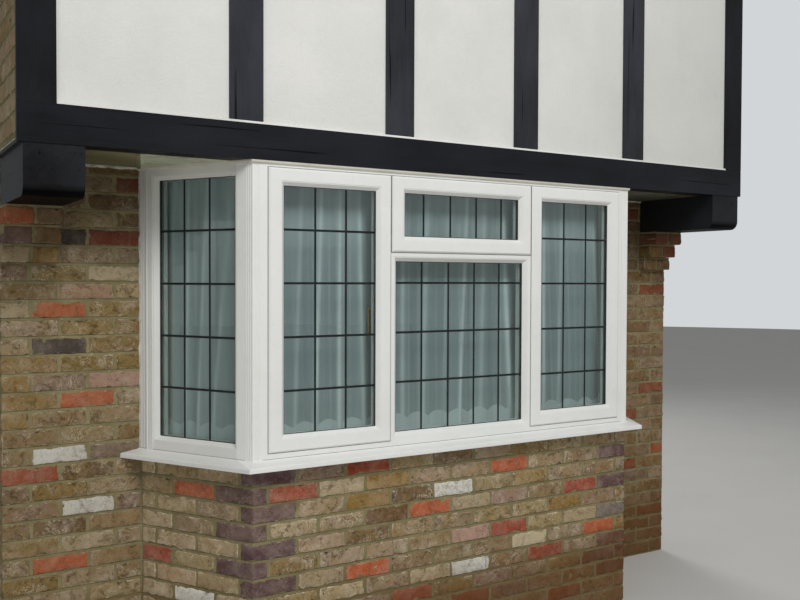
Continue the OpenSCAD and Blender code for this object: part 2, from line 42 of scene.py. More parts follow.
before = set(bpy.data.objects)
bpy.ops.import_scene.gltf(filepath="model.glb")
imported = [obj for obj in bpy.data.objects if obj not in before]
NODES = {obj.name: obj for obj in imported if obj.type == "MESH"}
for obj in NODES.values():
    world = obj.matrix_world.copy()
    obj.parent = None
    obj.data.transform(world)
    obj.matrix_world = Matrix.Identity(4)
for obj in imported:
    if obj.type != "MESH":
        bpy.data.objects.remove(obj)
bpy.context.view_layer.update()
BODY = "root"

X, Y, Z = Vector((1, 0, 0)), Vector((0, 1, 0)), Vector((0, 0, 1))
FLIP = Vector((-1, 1, 1))


def extent(name, way):
    """Lowest and highest place of a CAD node along a direction."""
    places = [v.co.dot(way) for v in NODES[name].data.vertices]
    return min(places), max(places)


FRONT_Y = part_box("bay_brick_front")[0].y
BAY_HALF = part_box("bay_brick_front")[1].x
WALL_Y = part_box("wall_left")[0].y
WALL_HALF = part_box("wall_right")[1].x
SIDE_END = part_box("bay_brick_right")[1].x
BACK_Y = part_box("wall_right")[1].y
SOFFIT_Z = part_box("bressummer")[0].z
RETURN_FRONT, RETURN_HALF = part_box("brick_returns")[0].y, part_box("brick_returns")[1].x
TOP_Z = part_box("brick_returns")[1].z
# How far the window frames stand out from the brick face
FRAME_OUT = FRONT_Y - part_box("frame_front")[0].y
# Bricks: height of a course, length without and with a joint, and how deep a facing
# brick reaches into the wall, on its face and at its end
COURSE, BRICK, STEP = 0.075, 0.215, 0.225
SKIN, END_DEPTH = 0.012, 0.105
BASE_COURSES = round(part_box("bay_brick_front")[1].z / COURSE)
WALL_COURSES = 29
TOP_COURSES = round(TOP_Z / COURSE)
# Courses whose end bricks step out under the timber brackets and how far, and where
# along the wall their mortar lies
CORBEL = {23: 0.040, 24: 0.085, 25: 0.130}
CORBEL_START, CORBEL_END = 1.676, 1.888
# Line in plan of the strips over the soffit joints: start at the wall and slope outwards
STRIP_START, STRIP_LEAN = 1.330, 0.124 / 0.440
# Where the side frames start, from the middle of the bay
SIDE_FRAMES = 1.075
SPLAY = math.atan2(WALL_Y - FRONT_Y, SIDE_END - BAY_HALF)


class Face:
    """An upright plane: where it starts, the way it runs and the way it looks out."""

    def __init__(self, start, along, out):
        self.start, self.along, self.out = Vector(start), Vector(along), Vector(out)

    def at(self, along, up, out=0.0):
        return self.start + self.along * along + self.out * out + Z * up

    @property
    def turn(self):
        return math.atan2(-self.out.x, self.out.y) + math.pi


def handed(face, mirror):
    """The face, or its mirror image on the left that still runs away from the middle."""
    return Face(face.start * FLIP, face.along * FLIP, face.out * FLIP) if mirror else face


RIGHT_SIDE = Face(
    (BAY_HALF, FRONT_Y, 0),
    (math.cos(SPLAY), math.sin(SPLAY), 0),
    (math.sin(SPLAY), -math.cos(SPLAY), 0),
)
LEFT_SIDE = handed(RIGHT_SIDE, True)
BAY_FRONT = Face((0, FRONT_Y, 0), X, -Y)
RIGHT_WALL = Face((0, WALL_Y, 0), X, -Y)
RIGHT_END = Face((WALL_HALF, 0, 0), Y, X)
RIGHT_RETURN = Face((RETURN_HALF, 0, 0), Y, X)
# Way out at the corner of the bay, as long as the mitre of two faces one metre out
CORNER_OUT = (RIGHT_SIDE.out - Y).normalized() / math.cos(SPLAY / 2)


# Nodes and materials


def linear(red, green, blue):
    """A colour as seen on screen, 0 to 255, as the shader's own numbers."""
    def one(v):
        v /= 255
        return v / 12.92 if v <= 0.04045 else ((v + 0.055) / 1.055) ** 2.4
    return (one(red), one(green), one(blue), 1.0)


def shade(value):
    """A shader's colour: three numbers are one as seen on screen, all else stays."""
    return linear(*value) if isinstance(value, tuple) and len(value) == 3 else value


class Tree:
    """A node tree, with short calls for its nodes."""

    def __init__(self, tree):
        self.tree = tree

    def add(self, kind, inputs=None, **settings):
        """A node with its settings, and its inputs set or joined by name or number."""
        made = self.tree.nodes.new(kind)
        for name, value in settings.items():
            setattr(made, name, value)
        for name, value in (inputs or {}).items():
            if isinstance(value, bpy.types.NodeSocket):
                self.tree.links.new(value, made.inputs[name])
            else:
                made.inputs[name].default_value = value
        return made

    def maths(self, operation, a, b=0.0, clamp=False):
        made = self.add("ShaderNodeMath", {0: a, 1: b}, operation=operation, use_clamp=clamp)
        return made.outputs[0]

    def times(self, a, b):
        return self.maths("MULTIPLY", a, b)

    def plus(self, a, b):
        return self.maths("ADD", a, b)

    def minus(self, a, b):
        return self.maths("SUBTRACT", a, b)

    def more(self, a, b):
        return self.maths("GREATER_THAN", a, b)

    def less(self, a, b):
        return self.maths("LESS_THAN", a, b)

    def vector(self, operation, a, b):
        return self.add("ShaderNodeVectorMath", {0: a, 1: b}, operation=operation).outputs[0]

    def scaled(self, a, size):
        return self.add("ShaderNodeVectorMath", {0: a, "Scale": size},
                        operation="SCALE").outputs[0]


class Finish(Tree):
    """A procedural material on object coordinates; its colour is laid on coat by coat."""

    def __init__(self, name):
        self.material = bpy.data.materials.new(name)
        self.material.use_nodes = True
        super().__init__(self.material.node_tree)
        self.tree.nodes.clear()
        self.place = self.add("ShaderNodeTexCoord").outputs["Object"]
        self.colour = None

    def grain(self, scale, detail=3.0, rough=0.55, place=None, bend=0.0):
        return self.add("ShaderNodeTexNoise", {
            "Vector": place or self.place, "Scale": scale, "Detail": detail,
            "Roughness": rough, "Distortion": bend}).outputs["Fac"]

    def cells(self, scale):
        return self.add("ShaderNodeTexVoronoi",
                        {"Vector": self.place, "Scale": scale}).outputs["Distance"]

    def creases(self, *grain, bend):
        """Distance of a noise from its mean, which is nought along winding lines."""
        return self.maths("ABSOLUTE", self.minus(self.grain(*grain, bend=bend), 0.5))

    def ramp(self, value, *stops):
        """Values between stops; a stop is a place and a grey or a colour."""
        made = self.add("ShaderNodeValToRGB", {"Fac": value})
        line = made.color_ramp.elements
        while len(line) < len(stops):
            line.new(0.5)
        for element, (place, tone) in zip(line, stops):
            element.position = place
            element.color = shade(tone) if isinstance(tone, tuple) else (tone,) * 3 + (1,)
        return made.outputs["Color"]

    def mix(self, share, a, b):
        return self.add("ShaderNodeMix", {0: share, 6: shade(a), 7: shade(b)},
                        data_type="RGBA").outputs[2]

    def over(self, mask, colour, *stops, calm=None):
        """Lays a colour on where the mask is high; stops set how high it counts."""
        mask = self.ramp(mask, *stops) if stops else mask
        mask = self.times(mask, calm) if calm else mask
        self.colour = self.mix(mask, self.colour, colour)

    def attribute(self, name, output="Fac"):
        return self.add("ShaderNodeAttribute", attribute_name=name).outputs[output]

    def axis(self, letter, vector=None):
        """One coordinate of the place or of another vector."""
        made = self.add("ShaderNodeSeparateXYZ", {"Vector": vector or self.place})
        return made.outputs[letter]

    def side_of_middle(self):
        """Distance from the middle of the bay, the same on both sides."""
        return self.maths("ABSOLUTE", self.axis("X"))

    def moved(self, value, reach=37.0):
        """The place, shifted by a value so that each brick or board has its own pattern."""
        shift = self.add("ShaderNodeCombineXYZ", {
            "X": self.times(value, reach), "Y": self.times(value, reach * 0.7),
            "Z": self.times(value, reach * 0.4)}).outputs[0]
        return self.vector("ADD", self.place, shift)

    def drawn(self, way, share, place=None):
        """The place drawn out along one axis, so that a pattern runs that way."""
        scale = [share if axis == way else 1.0 for axis in "xyz"]
        return self.add("ShaderNodeMapping",
                        {"Vector": place or self.place, "Scale": scale}).outputs[0]

    def bond(self, along, up, long, high, gap):
        """Joints of a half bond as 1 on a joint, and a number for each unit between them."""
        rise = self.maths("DIVIDE", up, high)
        row = self.maths("FLOOR", rise)
        stagger = self.times(self.maths("MODULO", row, 2.0), 0.5)
        run = self.plus(self.maths("DIVIDE", along, long), stagger)
        beds = self.less(self.maths("FRACT", rise), gap / high)
        ends = self.less(self.maths("FRACT", run), gap / long)
        cell = self.add("ShaderNodeCombineXYZ", {"X": self.maths("FLOOR", run), "Y": row})
        number = self.add("ShaderNodeTexWhiteNoise", {"Vector": cell.outputs[0]})
        return self.maths("MAXIMUM", beds, ends), number.outputs["Value"]

    def surface(self, rough, height, strength, depth, shine=0.5, metal=0.0, sheen=0.0):
        """The material, from its colour, how rough it is and the height its bump follows."""
        bump = self.add("ShaderNodeBump",
                        {"Height": height, "Strength": strength, "Distance": depth})
        return self.finish(self.add("ShaderNodeBsdfPrincipled", {
            "Base Color": self.colour, "Roughness": rough, "Metallic": metal,
            "Specular IOR Level": shine, "Sheen Weight": sheen, "Normal": bump.outputs[0]}))

    def finish(self, shader):
        out = self.add("ShaderNodeOutputMaterial")
        self.tree.links.new(shader.outputs[0], out.inputs["Surface"])
        return self.material


def brick_finish():
    f = Finish("facing_brick")
    tint, share = f.attribute("tint"), f.attribute("share")
    own = f.moved(tint)
    f.colour = f.ramp(
        tint, (0.0, (118, 96, 72)), (0.12, (158, 137, 108)), (0.26, (172, 152, 128)),
        (0.4, (148, 128, 86)), (0.54, (164, 142, 116)), (0.68, (178, 158, 118)),
        (0.82, (140, 116, 70)), (1.0, (152, 130, 116)))
    broad = f.grain(11, 4, 0.62, own)
    f.over(broad, (152, 124, 72), (0.5, 0.0), (0.68, 0.65))
    f.over(broad, (196, 180, 158), (0.3, 0.6), (0.46, 0.0))
    # Bricks with a colour of their own, which take the marks below less strongly
    pale = f.ramp(broad, (0.35, 0.22), (0.6, 0.0))
    f.over(share, f.mix(pale, f.attribute("accent", "Color"), (206, 186, 164)))
    calm = f.minus(1.0, f.times(share, 0.45))
    cloud = f.grain(30, 6, 0.72, own, bend=0.9)
    f.over(cloud, (76, 58, 38), (0.32, 0.85), (0.48, 0.0), calm=calm)
    f.over(cloud, (200, 188, 160), (0.55, 0.0), (0.75, 0.4), calm=calm)
    # Dark cracks and pale creases, each on some of the bricks
    cracks = f.ramp(f.creases(20, 5, 0.62, own, bend=1.4), (0.006, 1.0), (0.024, 0.0))
    cracked = f.grain(15, 3, 0.6, f.moved(tint, 71.0))
    cracks = f.times(cracks, f.ramp(cracked, (0.5, 0.0), (0.62, 0.75)))
    f.over(cracks, (66, 50, 34), calm=calm)
    creases = f.creases(26, 5, 0.65, f.moved(tint, 19.0), bend=1.8)
    creased = f.ramp(f.grain(9, 3, 0.6, f.moved(tint, 29.0)), (0.5, 0.0), (0.6, 0.8))
    creased = f.times(f.minus(1.0, f.times(share, 0.7)), creased)
    creases = f.times(f.ramp(creases, (0.008, 1.0), (0.03, 0.0)), creased)
    f.over(creases, (216, 204, 176), calm=calm)
    # White flecks, dark pits and pale worn edges
    flecks = f.grain(70, 5, 0.78, f.moved(tint, 91.0), bend=0.8)
    flecks = f.times(f.ramp(flecks, (0.62, 0.0), (0.7, 0.85)), calm)
    f.over(flecks, (226, 216, 194), calm=calm)
    pits = f.ramp(f.cells(150), (0.12, 1.0), (0.26, 0.0))
    places = f.ramp(f.grain(17, 3, 0.6, f.moved(tint, 53.0)), (0.46, 0.0), (0.56, 0.95))
    f.over(f.times(pits, places), (36, 28, 24))
    worn = f.times(f.ramp(f.attribute("loose"), (0.6, 0.0), (0.85, 1.0)),
                   f.ramp(f.grain(30, 5, 0.75), (0.52, 0.0), (0.64, 0.75)))
    f.over(worn, (228, 220, 200), calm=calm)
    # Browner towards the foot, painted shade on the walls beside the bay and under the
    # overhang, and painted light on the bay's left side
    foot = f.plus(f.axis("Z"), f.times(f.grain(3, 3), 0.12))
    f.over(f.minus(foot, f.times(f.axis("X"), 0.03)), (102, 69, 38), (0.28, 0.78), (0.45, 0.0))
    # Painted shade on the wall left of the bay, which lies under the overhang
    f.over(f.times(f.less(f.axis("X"), -SIDE_END), 0.25), (92, 74, 44))
    # Painted shadow in a band under the overhang, from about 1.65 m up
    f.over(f.times(f.axis("Z"), 0.4), (72, 58, 38), (0.66, 0.0), (0.85, 0.5), (0.875, 0.0))
    # Painted shade, browner, on the wall right of the bay
    painted_shade_right_wall = f.times(f.more(f.axis("X"), SIDE_END - 0.01),
                        f.less(f.axis("X"), WALL_HALF - 0.002))
    f.over(f.times(painted_shade_right_wall, 0.47), (100, 70, 40))
    # Painted light on the bricks of the bay's left side
    painted_light_left_side = f.times(f.less(f.axis("X"), -BAY_HALF - 0.01), f.less(f.axis("Y"), WALL_Y - 0.01))
    painted_light_left_side = f.times(painted_light_left_side, f.minus(1.0, share))
    f.over(f.times(painted_light_left_side, 0.22), (216, 196, 158))
    height = f.minus(f.grain(70, 6, 0.75), f.times(f.plus(pits, cracks), 0.35))
    return f.surface(0.92, height, 0.9, 0.004, shine=0.2)


def mortar_finish():
    """Mortar on the outer faces, plain brickwork with joints on the others."""
    f = Finish("brick_mortar")
    sand = f.grain(240, 3, 0.7)
    f.colour = f.ramp(f.grain(9, 4, 0.6), (0.3, (126, 116, 84)), (0.7, (160, 149, 112)))
    f.over(sand, (96, 86, 60), (0.35, 0.35), (0.65, 0.0))
    f.over(f.grain(34, 5, 0.7), (200, 192, 164), (0.6, 0.0), (0.7, 0.4))
    # A hair below the true height, so that the cut top of a wall shows bricks
    up = f.minus(f.axis("Z"), 0.0005)
    # Painted shadow: a dark line at the top of each bed joint, under the brick above
    bed = f.times(f.maths("FRACT", f.maths("DIVIDE", up, COURSE)), COURSE)
    f.over(f.maths("DIVIDE", bed, 0.015), (66, 58, 38),
           (0.44, 0.0), (0.6, 0.6), (0.68, 0.6), (0.74, 0.0))
    f.over(up, (108, 88, 56), (0.30, 0.6), (0.42, 0.0))
    mortar = f.colour
    along = f.plus(f.side_of_middle(), f.axis("Y"))
    joint, number = f.bond(along, up, STEP, COURSE, STEP - BRICK)
    f.colour = f.ramp(number, (0.0, (148, 112, 84)), (0.35, (166, 138, 106)),
                      (0.7, (150, 128, 96)), (1.0, (158, 100, 74)))
    f.over(f.grain(60, 5, 0.7), (96, 76, 56), (0.35, 0.5), (0.6, 0.0))
    f.over(joint, (150, 142, 120))
    facing = f.add("ShaderNodeNewGeometry").outputs["True Normal"]
    outward = f.times(f.maths("SIGN", f.axis("X")), f.axis("X", facing))
    forward = f.times(f.axis("Y", facing), -1.0)
    f.over(f.more(f.maths("MAXIMUM", outward, forward), 0.3), mortar)
    height = f.minus(f.plus(sand, f.grain(40, 3)), joint)
    return f.surface(0.95, height, 0.7, 0.003, shine=0.15)


def plastic_finish():
    """White plastic with grime, and painted shade that greys the side frames."""
    f = Finish("window_plastic")
    grime = f.grain(3.5, 5, 0.65)
    f.colour = (240, 240, 236)
    f.over(grime, (200, 200, 190), (0.45, 0.0), (0.75, 0.16))
    f.over(f.grain(40, 4, 0.7), (186, 184, 172), (0.58, 0.0), (0.8, 0.12))
    # Painted shade on the side frames
    f.over(f.times(f.more(f.side_of_middle(), SIDE_FRAMES), 0.22), (170, 168, 158))
    return f.surface(f.ramp(grime, (0.3, 0.28), (0.7, 0.42)), f.grain(9, 2), 0.15, 0.001)


def glass_finish():
    """Clear glass that mirrors more at a slant, the same from both of its sides."""
    f = Finish("window_glass")
    clear = f.add("ShaderNodeBsdfTransparent", {"Color": (0.94, 0.966, 0.964, 1)})
    mirror = f.add("ShaderNodeBsdfGlossy", {"Color": (0.93, 1.0, 0.97, 1), "Roughness": 0.02})
    slant = f.add("ShaderNodeLayerWeight", {"Blend": 0.5}).outputs["Facing"]
    share = f.plus(f.times(f.maths("POWER", slant, 5.0), 0.96), 0.04)
    return f.finish(f.add("ShaderNodeMixShader",
                          {0: share, 1: clear.outputs[0], 2: mirror.outputs[0]}))


def two_tones(name, dark, light, rough, tone, bump=None, strength=0.5, depth=0.0005, high=0.7,
              **more):
    """A finish between two tones, with a bump of its own pattern or of the same."""
    f = Finish(name)
    pattern = f.grain(*tone)
    f.colour = f.ramp(pattern, (0.3, dark), (high, light))
    return f.surface(rough, f.grain(*bump) if bump else pattern, strength, depth, **more)


def timber_finish(name, way, dark, light, rough=0.5, boards=0.0, under=0.0):
    """Timber whose grain and drying cracks run along one axis, with painted shade on its
    underside.
    """
    f = Finish(name)
    own = f.place
    if boards:
        across = f.maths("DIVIDE", f.axis("Y"), boards)
        number = f.add("ShaderNodeTexWhiteNoise", {"W": f.maths("FLOOR", across)},
                       noise_dimensions="1D")
        own = f.moved(number.outputs[0])
    grain = f.grain(120, 4, 0.65, f.drawn(way, 0.03, own))
    whole = f.ramp(f.grain(62, 2, 0.5, f.drawn(way, 0.018, own)), (0.285, 0.0), (0.315, 1.0))
    f.colour = f.ramp(f.grain(4, 4, 0.6, f.drawn(way, 0.4, own)), (0.3, dark), (0.7, light))
    f.over(grain, light, (0.45, 0.0), (0.75, 0.35))
    crack = (*(0.3 * c for c in linear(*dark)[:3]), 1.0)
    f.colour = f.mix(whole, crack, f.colour)
    shine = 0.25
    if under:
        # Painted shade: downward faces go darker, by the given share, and lose shine
        facing = f.add("ShaderNodeNewGeometry").outputs["Normal"]
        underside_shade = f.times(f.maths("MULTIPLY", f.axis("Z", facing), -1.8, clamp=True), under)
        f.over(underside_shade, (0, 0, 0))
        shine = f.minus(shine, f.times(underside_shade, shine))
    height = f.plus(f.times(grain, 0.35), whole)
    if boards:
        gap = f.less(f.maths("FRACT", across), 0.02)
        f.over(gap, (40, 32, 24))
        height = f.minus(height, gap)
    return f.surface(rough, height, 0.6, 0.0022, shine=shine)


def render_finish():
    """Painted render, with painted shade making it a little darker to the right."""
    f = Finish("painted_render")
    f.colour = f.ramp(f.grain(2.2, 4, 0.6), (0.3, (218, 218, 212)), (0.7, (230, 229, 224)))
    f.over(f.grain(9, 4, 0.6, f.drawn("z", 0.12)), (192, 190, 178), (0.55, 0.0), (0.8, 0.12))
    # Painted shade towards the right
    f.over(f.times(f.axis("X"), 0.5), (176, 178, 172), (0.1, 0.0), (0.95, 0.35))
    stipple = f.plus(f.grain(130, 3, 0.6), f.grain(22, 3))
    return f.surface(0.8, stipple, 0.6, 0.0022, shine=0.25)


def soffit_finish():
    """Pale board under the bay with stains, olive outside the slanted strips, and painted shade
    towards the right.
    """
    f = Finish("soffit_board")
    broad = f.grain(3, 4, 0.6)
    f.colour = f.ramp(broad, (0.3, (196, 198, 172)), (0.7, (218, 219, 196)))
    # Olive tone outside the slanted strips
    outer_olive = f.ramp(broad, (0.3, (104, 98, 66)), (0.7, (150, 144, 104)))
    edge = f.plus(f.times(f.minus(WALL_Y, f.axis("Y")), STRIP_LEAN), STRIP_START)
    f.over(f.more(f.side_of_middle(), edge), outer_olive)
    # Painted shade towards the right
    f.over(f.times(f.axis("X"), 0.5), (62, 59, 42), (0.42, 0.0), (0.56, 0.9))
    f.over(f.grain(6, 5, 0.7, bend=0.8), (120, 114, 84), (0.5, 0.0), (0.7, 0.5))
    return f.surface(0.75, f.grain(60, 4), 0.4, 0.0015)


def block_finish():
    """Blockwork, whose joints follow the slant of the bay's sides."""
    f = Finish("blockwork")
    pores = f.cells(110)
    slanted = f.maths("MAXIMUM", f.minus(f.side_of_middle(), BAY_HALF - 0.15), 0.0)
    along = f.plus(f.plus(f.side_of_middle(), slanted), f.axis("Y"))
    joint, number = f.bond(along, f.axis("Z"), 2 * STEP, 3 * COURSE, 0.010)
    f.colour = f.ramp(f.grain(12, 5, 0.7), (0.3, (128, 127, 122)), (0.7, (170, 169, 163)))
    f.over(number, (186, 184, 176), (0.0, 0.0), (1.0, 0.4))
    f.over(pores, (96, 95, 92), (0.12, 0.6), (0.3, 0.0))
    f.over(joint, (196, 192, 182))
    height = f.minus(f.plus(pores, f.grain(70, 4)), joint)
    return f.surface(0.95, height, 0.8, 0.004, shine=0.2)


def net_finish():
    """Net fabric, whiter in its hem and, partly as painted light, where it is folded close;
    painted reflection towards its head and painted light on the side nets.
    """
    f = Finish("net_fabric")
    weave, cross = (f.add("ShaderNodeTexWave", {"Vector": f.place, "Scale": 260.0},
                          bands_direction=way).outputs["Fac"] for way in "ZX")
    doubled = f.times(f.less(f.axis("Z"), f.attribute("hem")), 0.6)
    dense = f.maths("MAXIMUM", f.attribute("dense"), doubled)
    # Whiter where the fabric is dense, with painted light on the fold crests and painted shade
    # in the troughs
    f.colour = f.ramp(dense, (0.0, (160, 167, 168)), (0.45, (196, 202, 201)),
                      (1.0, (240, 242, 241)))
    # Painted reflection of the sky towards the head of the nets
    f.over(f.times(f.axis("Z"), 0.4), (236, 240, 240), (0.68, 0.0), (0.84, 0.55))
    # Painted light on the nets of the side lights
    f.over(f.times(f.more(f.side_of_middle(), BAY_HALF), 0.25), (232, 242, 238))
    return f.surface(0.9, f.plus(weave, cross), 0.2, 0.0004, sheen=0.25)


# Shapes


def in_scene(name, data):
    """A new object in the scene."""
    made = bpy.data.objects.new(name, data)
    bpy.context.scene.collection.objects.link(made)
    return made


def add_piece(name, mesh, material=None):
    """A finished piece in the scene, riding on its body."""
    piece = in_scene(name, mesh)
    if material:
        mesh.materials.clear()
        mesh.materials.append(material)
    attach(piece, BODY)
    return piece


def add_solid(name, bm, material):
    """A piece from a finished bmesh, with its faces pointing outwards."""
    bmesh.ops.recalc_face_normals(bm, faces=bm.faces)
    mesh = bpy.data.meshes.new(name)
    bm.to_mesh(mesh)
    bm.free()
    return add_piece(name, mesh, material)


def belt(lower, upper):
    """Corners of the faces between two closed rings."""
    after = [*range(1, len(lower)), 0]
    return [(lower[i], upper[i], upper[j], lower[j]) for i, j in enumerate(after)]


def skin(bm, rings):
    """A closed solid through rings of places."""
    rings = [[bm.verts.new(place) for place in ring] for ring in rings]
    for lower, upper in zip(rings, rings[1:]):
        for corners in belt(lower, upper):
            bm.faces.new(corners)
    bm.faces.new(rings[0])
    bm.faces.new(rings[-1][::-1])


def bar(bm, start, end, section, out):
    """A closed bar from start to end; section holds its sideways and outward places."""
    side = (end - start).normalized().cross(out)
    skin(bm, [[p + side * a + out * b for a, b in section] for p in (start, end)])


def strip(half, foot, head):
    """Section of a bar with a square face."""
    return [(-half, foot), (-half, head), (half, head), (half, foot)]


def surround(bm, face, box, inset, out, section):
    """Four bars round a box of left, right, foot and head, set in from it."""
    low, high, foot, head = box
    low, high, foot, head = low + inset, high - inset, foot + inset, head - inset
    corners = [face.at(*place, out) for place in (
        (low, foot), (high, foot), (high, head), (low, head))]
    for start, end in zip(corners, corners[1:] + corners[:1]):
        bar(bm, start, end, section, face.out)


# Distance between the rings of a bead, and the turns of a ring, a quarter round in all
BEAD_STEP, BEAD_TURNS = 0.012, [math.pi / 8 * step for step in range(5)]


def ragged_bead(bm, start, end, out, across, size, seed):
    """A bead of mortar pressed into a corner by hand, thick and thin along its way."""
    way = end - start
    count = round(way.length / BEAD_STEP)
    rings = []
    for k in range(count + 1):
        place = start + way * (k / count)
        swell = 1 + 0.6 * noise.noise(place * 23 + Z * seed) + 0.4 * noise.noise(place * 71)
        radius = size * max(0.35, swell)
        rings.append([place] + [
            place + out * (radius * math.cos(angle)) + across * (radius * math.sin(angle))
            for angle in BEAD_TURNS])
    skin(bm, rings)


def soften(width, *names):
    """Welds the loose triangles of CAD nodes and rounds their sharp edges."""
    for name in names:
        weld = NODES[name].modifiers.new("weld", "WELD")
        weld.merge_threshold = 0.00002
        bevel = NODES[name].modifiers.new("edges", "BEVEL")
        bevel.width, bevel.segments = width, 2
        bevel.limit_method, bevel.angle_limit = "ANGLE", math.radians(32)
        bevel.use_clamp_overlap = True


def paint(material, *names):
    for name in names:
        mesh = NODES[name].data
        mesh.materials.clear()
        mesh.materials.append(material)


# Facing bricks

# Kinds of the attributes that aren't plain numbers
ATTRIBUTES = {
    "rim": ("FLOAT_VECTOR", "vector"),
    "stretch": ("FLOAT_VECTOR", "vector"),
    "accent": ("FLOAT_COLOR", "color"),
}
# Rings of a brick's rounded edge: how far out, how far back and how loose; the last one
# lies at the back of the brick
EDGE_RINGS = ((0.72, 0.28, 1.0), (1.0, 1.0, 0.9), (1.0, None, 0.0))
# Columns of a brick and of each leg of a squint, and rows of both
BRICK_COLUMNS, LEG_COLUMNS, BRICK_ROWS = 14, 7, 4


def carrier(name, verts, faces, **attributes):
    """A mesh in the scene whose vertices carry attributes for the node tree."""
    mesh = bpy.data.meshes.new(name)
    mesh.from_pydata(verts, [], faces)
    for key, values in attributes.items():
        kind, field = ATTRIBUTES.get(key, ("FLOAT", "value"))
        flat = [c for v in values for c in (v if hasattr(v, "__len__") else (v,))]
        mesh.attributes.new(key, kind, "POINT").data.foreach_set(field, flat)
    return in_scene(name, mesh)


def rimmed_blank(stations, half, depth, radius, ways, flip=False):
    """Front of a brick along stations, its rounded edge kept apart as a vector named rim.

    A station is a place and the way out there; ways lead off the brick at both ends.
    """
    count = len(stations) - 1
    verts, rims, loose, faces = [], [], [], []

    def vert(place, rim, weight):
        verts.append(place * FLIP if flip else place)
        rims.append(rim * FLIP if flip else rim)
        loose.append(weight)
        return len(verts) - 1

    def level(j):
        return Z * (half * (2 * j / BRICK_ROWS - 1))

    rows, columns = range(BRICK_ROWS), range(count)
    grid = [[vert(place + level(j), Vector(),
                  0.7 if i in (0, count) or j in (0, BRICK_ROWS) else 0.35)
             for j in range(BRICK_ROWS + 1)] for i, (place, _) in enumerate(stations)]
    for i in columns:
        for j in rows:
            faces.append((grid[i][j], grid[i + 1][j], grid[i + 1][j + 1], grid[i][j + 1]))
    path = [(i, 0) for i in columns] + [(count, j) for j in rows]
    path += [(count - i, BRICK_ROWS) for i in columns] + [(0, BRICK_ROWS - j) for j in rows]
    last = [grid[i][j] for i, j in path]
    for reach, back, weight in EDGE_RINGS:
        ring = []
        for i, j in path:
            place, out = stations[i]
            way = ways[0] if i == 0 else ways[1] if i == count else Vector()
            rise = -1 if j == 0 else 1 if j == BRICK_ROWS else 0
            share = 0.86 if way.length and rise else 1.0
            rim = (way + Z * rise) * (share * radius * reach)
            if back is None:
                place = place - out * depth
            else:
                rim -= out * (radius * back)
            ring.append(vert(place + level(j), rim, weight))
        faces += belt(last, ring)
        last = ring
    faces.append(tuple(last))
    if flip:
        faces = [face[::-1] for face in faces]
    return carrier("brick_blank", verts, faces, rim=rims, loose=loose)


def brick_blank(radius):
    """A straight brick from -1 to 1, to be stretched to its size."""
    stations = [(X * (2 * i / BRICK_COLUMNS - 1), -Y) for i in range(BRICK_COLUMNS + 1)]
    return rimmed_blank(stations, 1, 2, radius, (-X, X))


def squint_blank(front_leg, side_leg, height, radius, flip):
    """A brick bent round the corner of the bay, at its full size about that corner."""
    front, side = ([radius + (leg - 2 * radius) * i / LEG_COLUMNS
                    for i in range(LEG_COLUMNS + 1)] for leg in (front_leg, side_leg))
    stations = [(-X * place, -Y) for place in reversed(front)] + [(Vector(), CORNER_OUT)]
    stations += [(RIGHT_SIDE.along * place, RIGHT_SIDE.out) for place in side]
    ways = (-X, RIGHT_SIDE.along)
    return rimmed_blank(stations, height / 2 - radius, SKIN, radius, ways, flip)


def brick_tree():
    """Node tree: a blank on every point, sized and turned, its rim worn and chipped."""
    t = Tree(bpy.data.node_groups.new("facing_bricks", "GeometryNodeTree"))
    for name, kind in (("Geometry", "Geometry"), ("Blank", "Object"), ("Wobble", "Float"),
                       ("Chipping", "Float"), ("Coarseness", "Float"),
                       ("Material", "Material")):
        t.tree.interface.new_socket(name, in_out="INPUT", socket_type=f"NodeSocket{kind}")
    t.tree.interface.new_socket("Geometry", in_out="OUTPUT", socket_type="NodeSocketGeometry")
    given = t.add("NodeGroupInput").outputs

    def named(name, kind="FLOAT"):
        return t.add("GeometryNodeInputNamedAttribute", {"Name": name},
                     data_type=kind).outputs[0]

    def then(kind, before, **inputs):
        return t.add(f"GeometryNode{kind}", {"Geometry": before.outputs[0], **inputs})

    points = t.add("GeometryNodeMeshToPoints", {"Mesh": given["Geometry"]})
    blank = t.add("GeometryNodeObjectInfo", {"Object": given["Blank"], "As Instance": True})
    turn = named("turn")
    spread = t.add("GeometryNodeInstanceOnPoints", {
        "Points": points.outputs[0], "Instance": blank.outputs["Geometry"],
        "Rotation": t.add("ShaderNodeCombineXYZ", {"Z": turn}).outputs[0],
        "Scale": named("stretch", "FLOAT_VECTOR")})
    rim = t.add("ShaderNodeVectorRotate",
                {"Vector": named("rim", "FLOAT_VECTOR"), "Angle": turn},
                rotation_type="Z_AXIS").outputs[0]
    full = then("SetPosition", then("RealizeInstances", spread), Offset=rim)
    place = t.add("GeometryNodeInputPosition").outputs[0]
    wave = t.add("ShaderNodeTexNoise",
                 {"Vector": place, "Scale": given["Coarseness"], "Detail": 3.0})
    shake = t.vector("SUBTRACT", wave.outputs["Color"], (0.5, 0.5, 0.5))
    loose = named("loose")
    shift = t.scaled(t.scaled(shake, t.times(loose, 2.0)), given["Wobble"])
    bite = t.add("ShaderNodeTexNoise", {"Vector": place, "Scale": 31.0, "Detail": 2.0})
    loss = t.maths("MAXIMUM", t.minus(bite.outputs["Fac"], 0.56), 0.0)
    loss = t.times(t.times(loss, given["Chipping"]), loose)
    chip = t.scaled(rim, t.times(loss, -1.0))
    worn = then("SetPosition", full, Offset=t.vector("ADD", shift, chip))
    painted = then("SetMaterial", then("SetShadeSmooth", worn), Material=given["Material"])
    t.add("NodeGroupOutput", {"Geometry": painted.outputs[0]})
    return t.tree


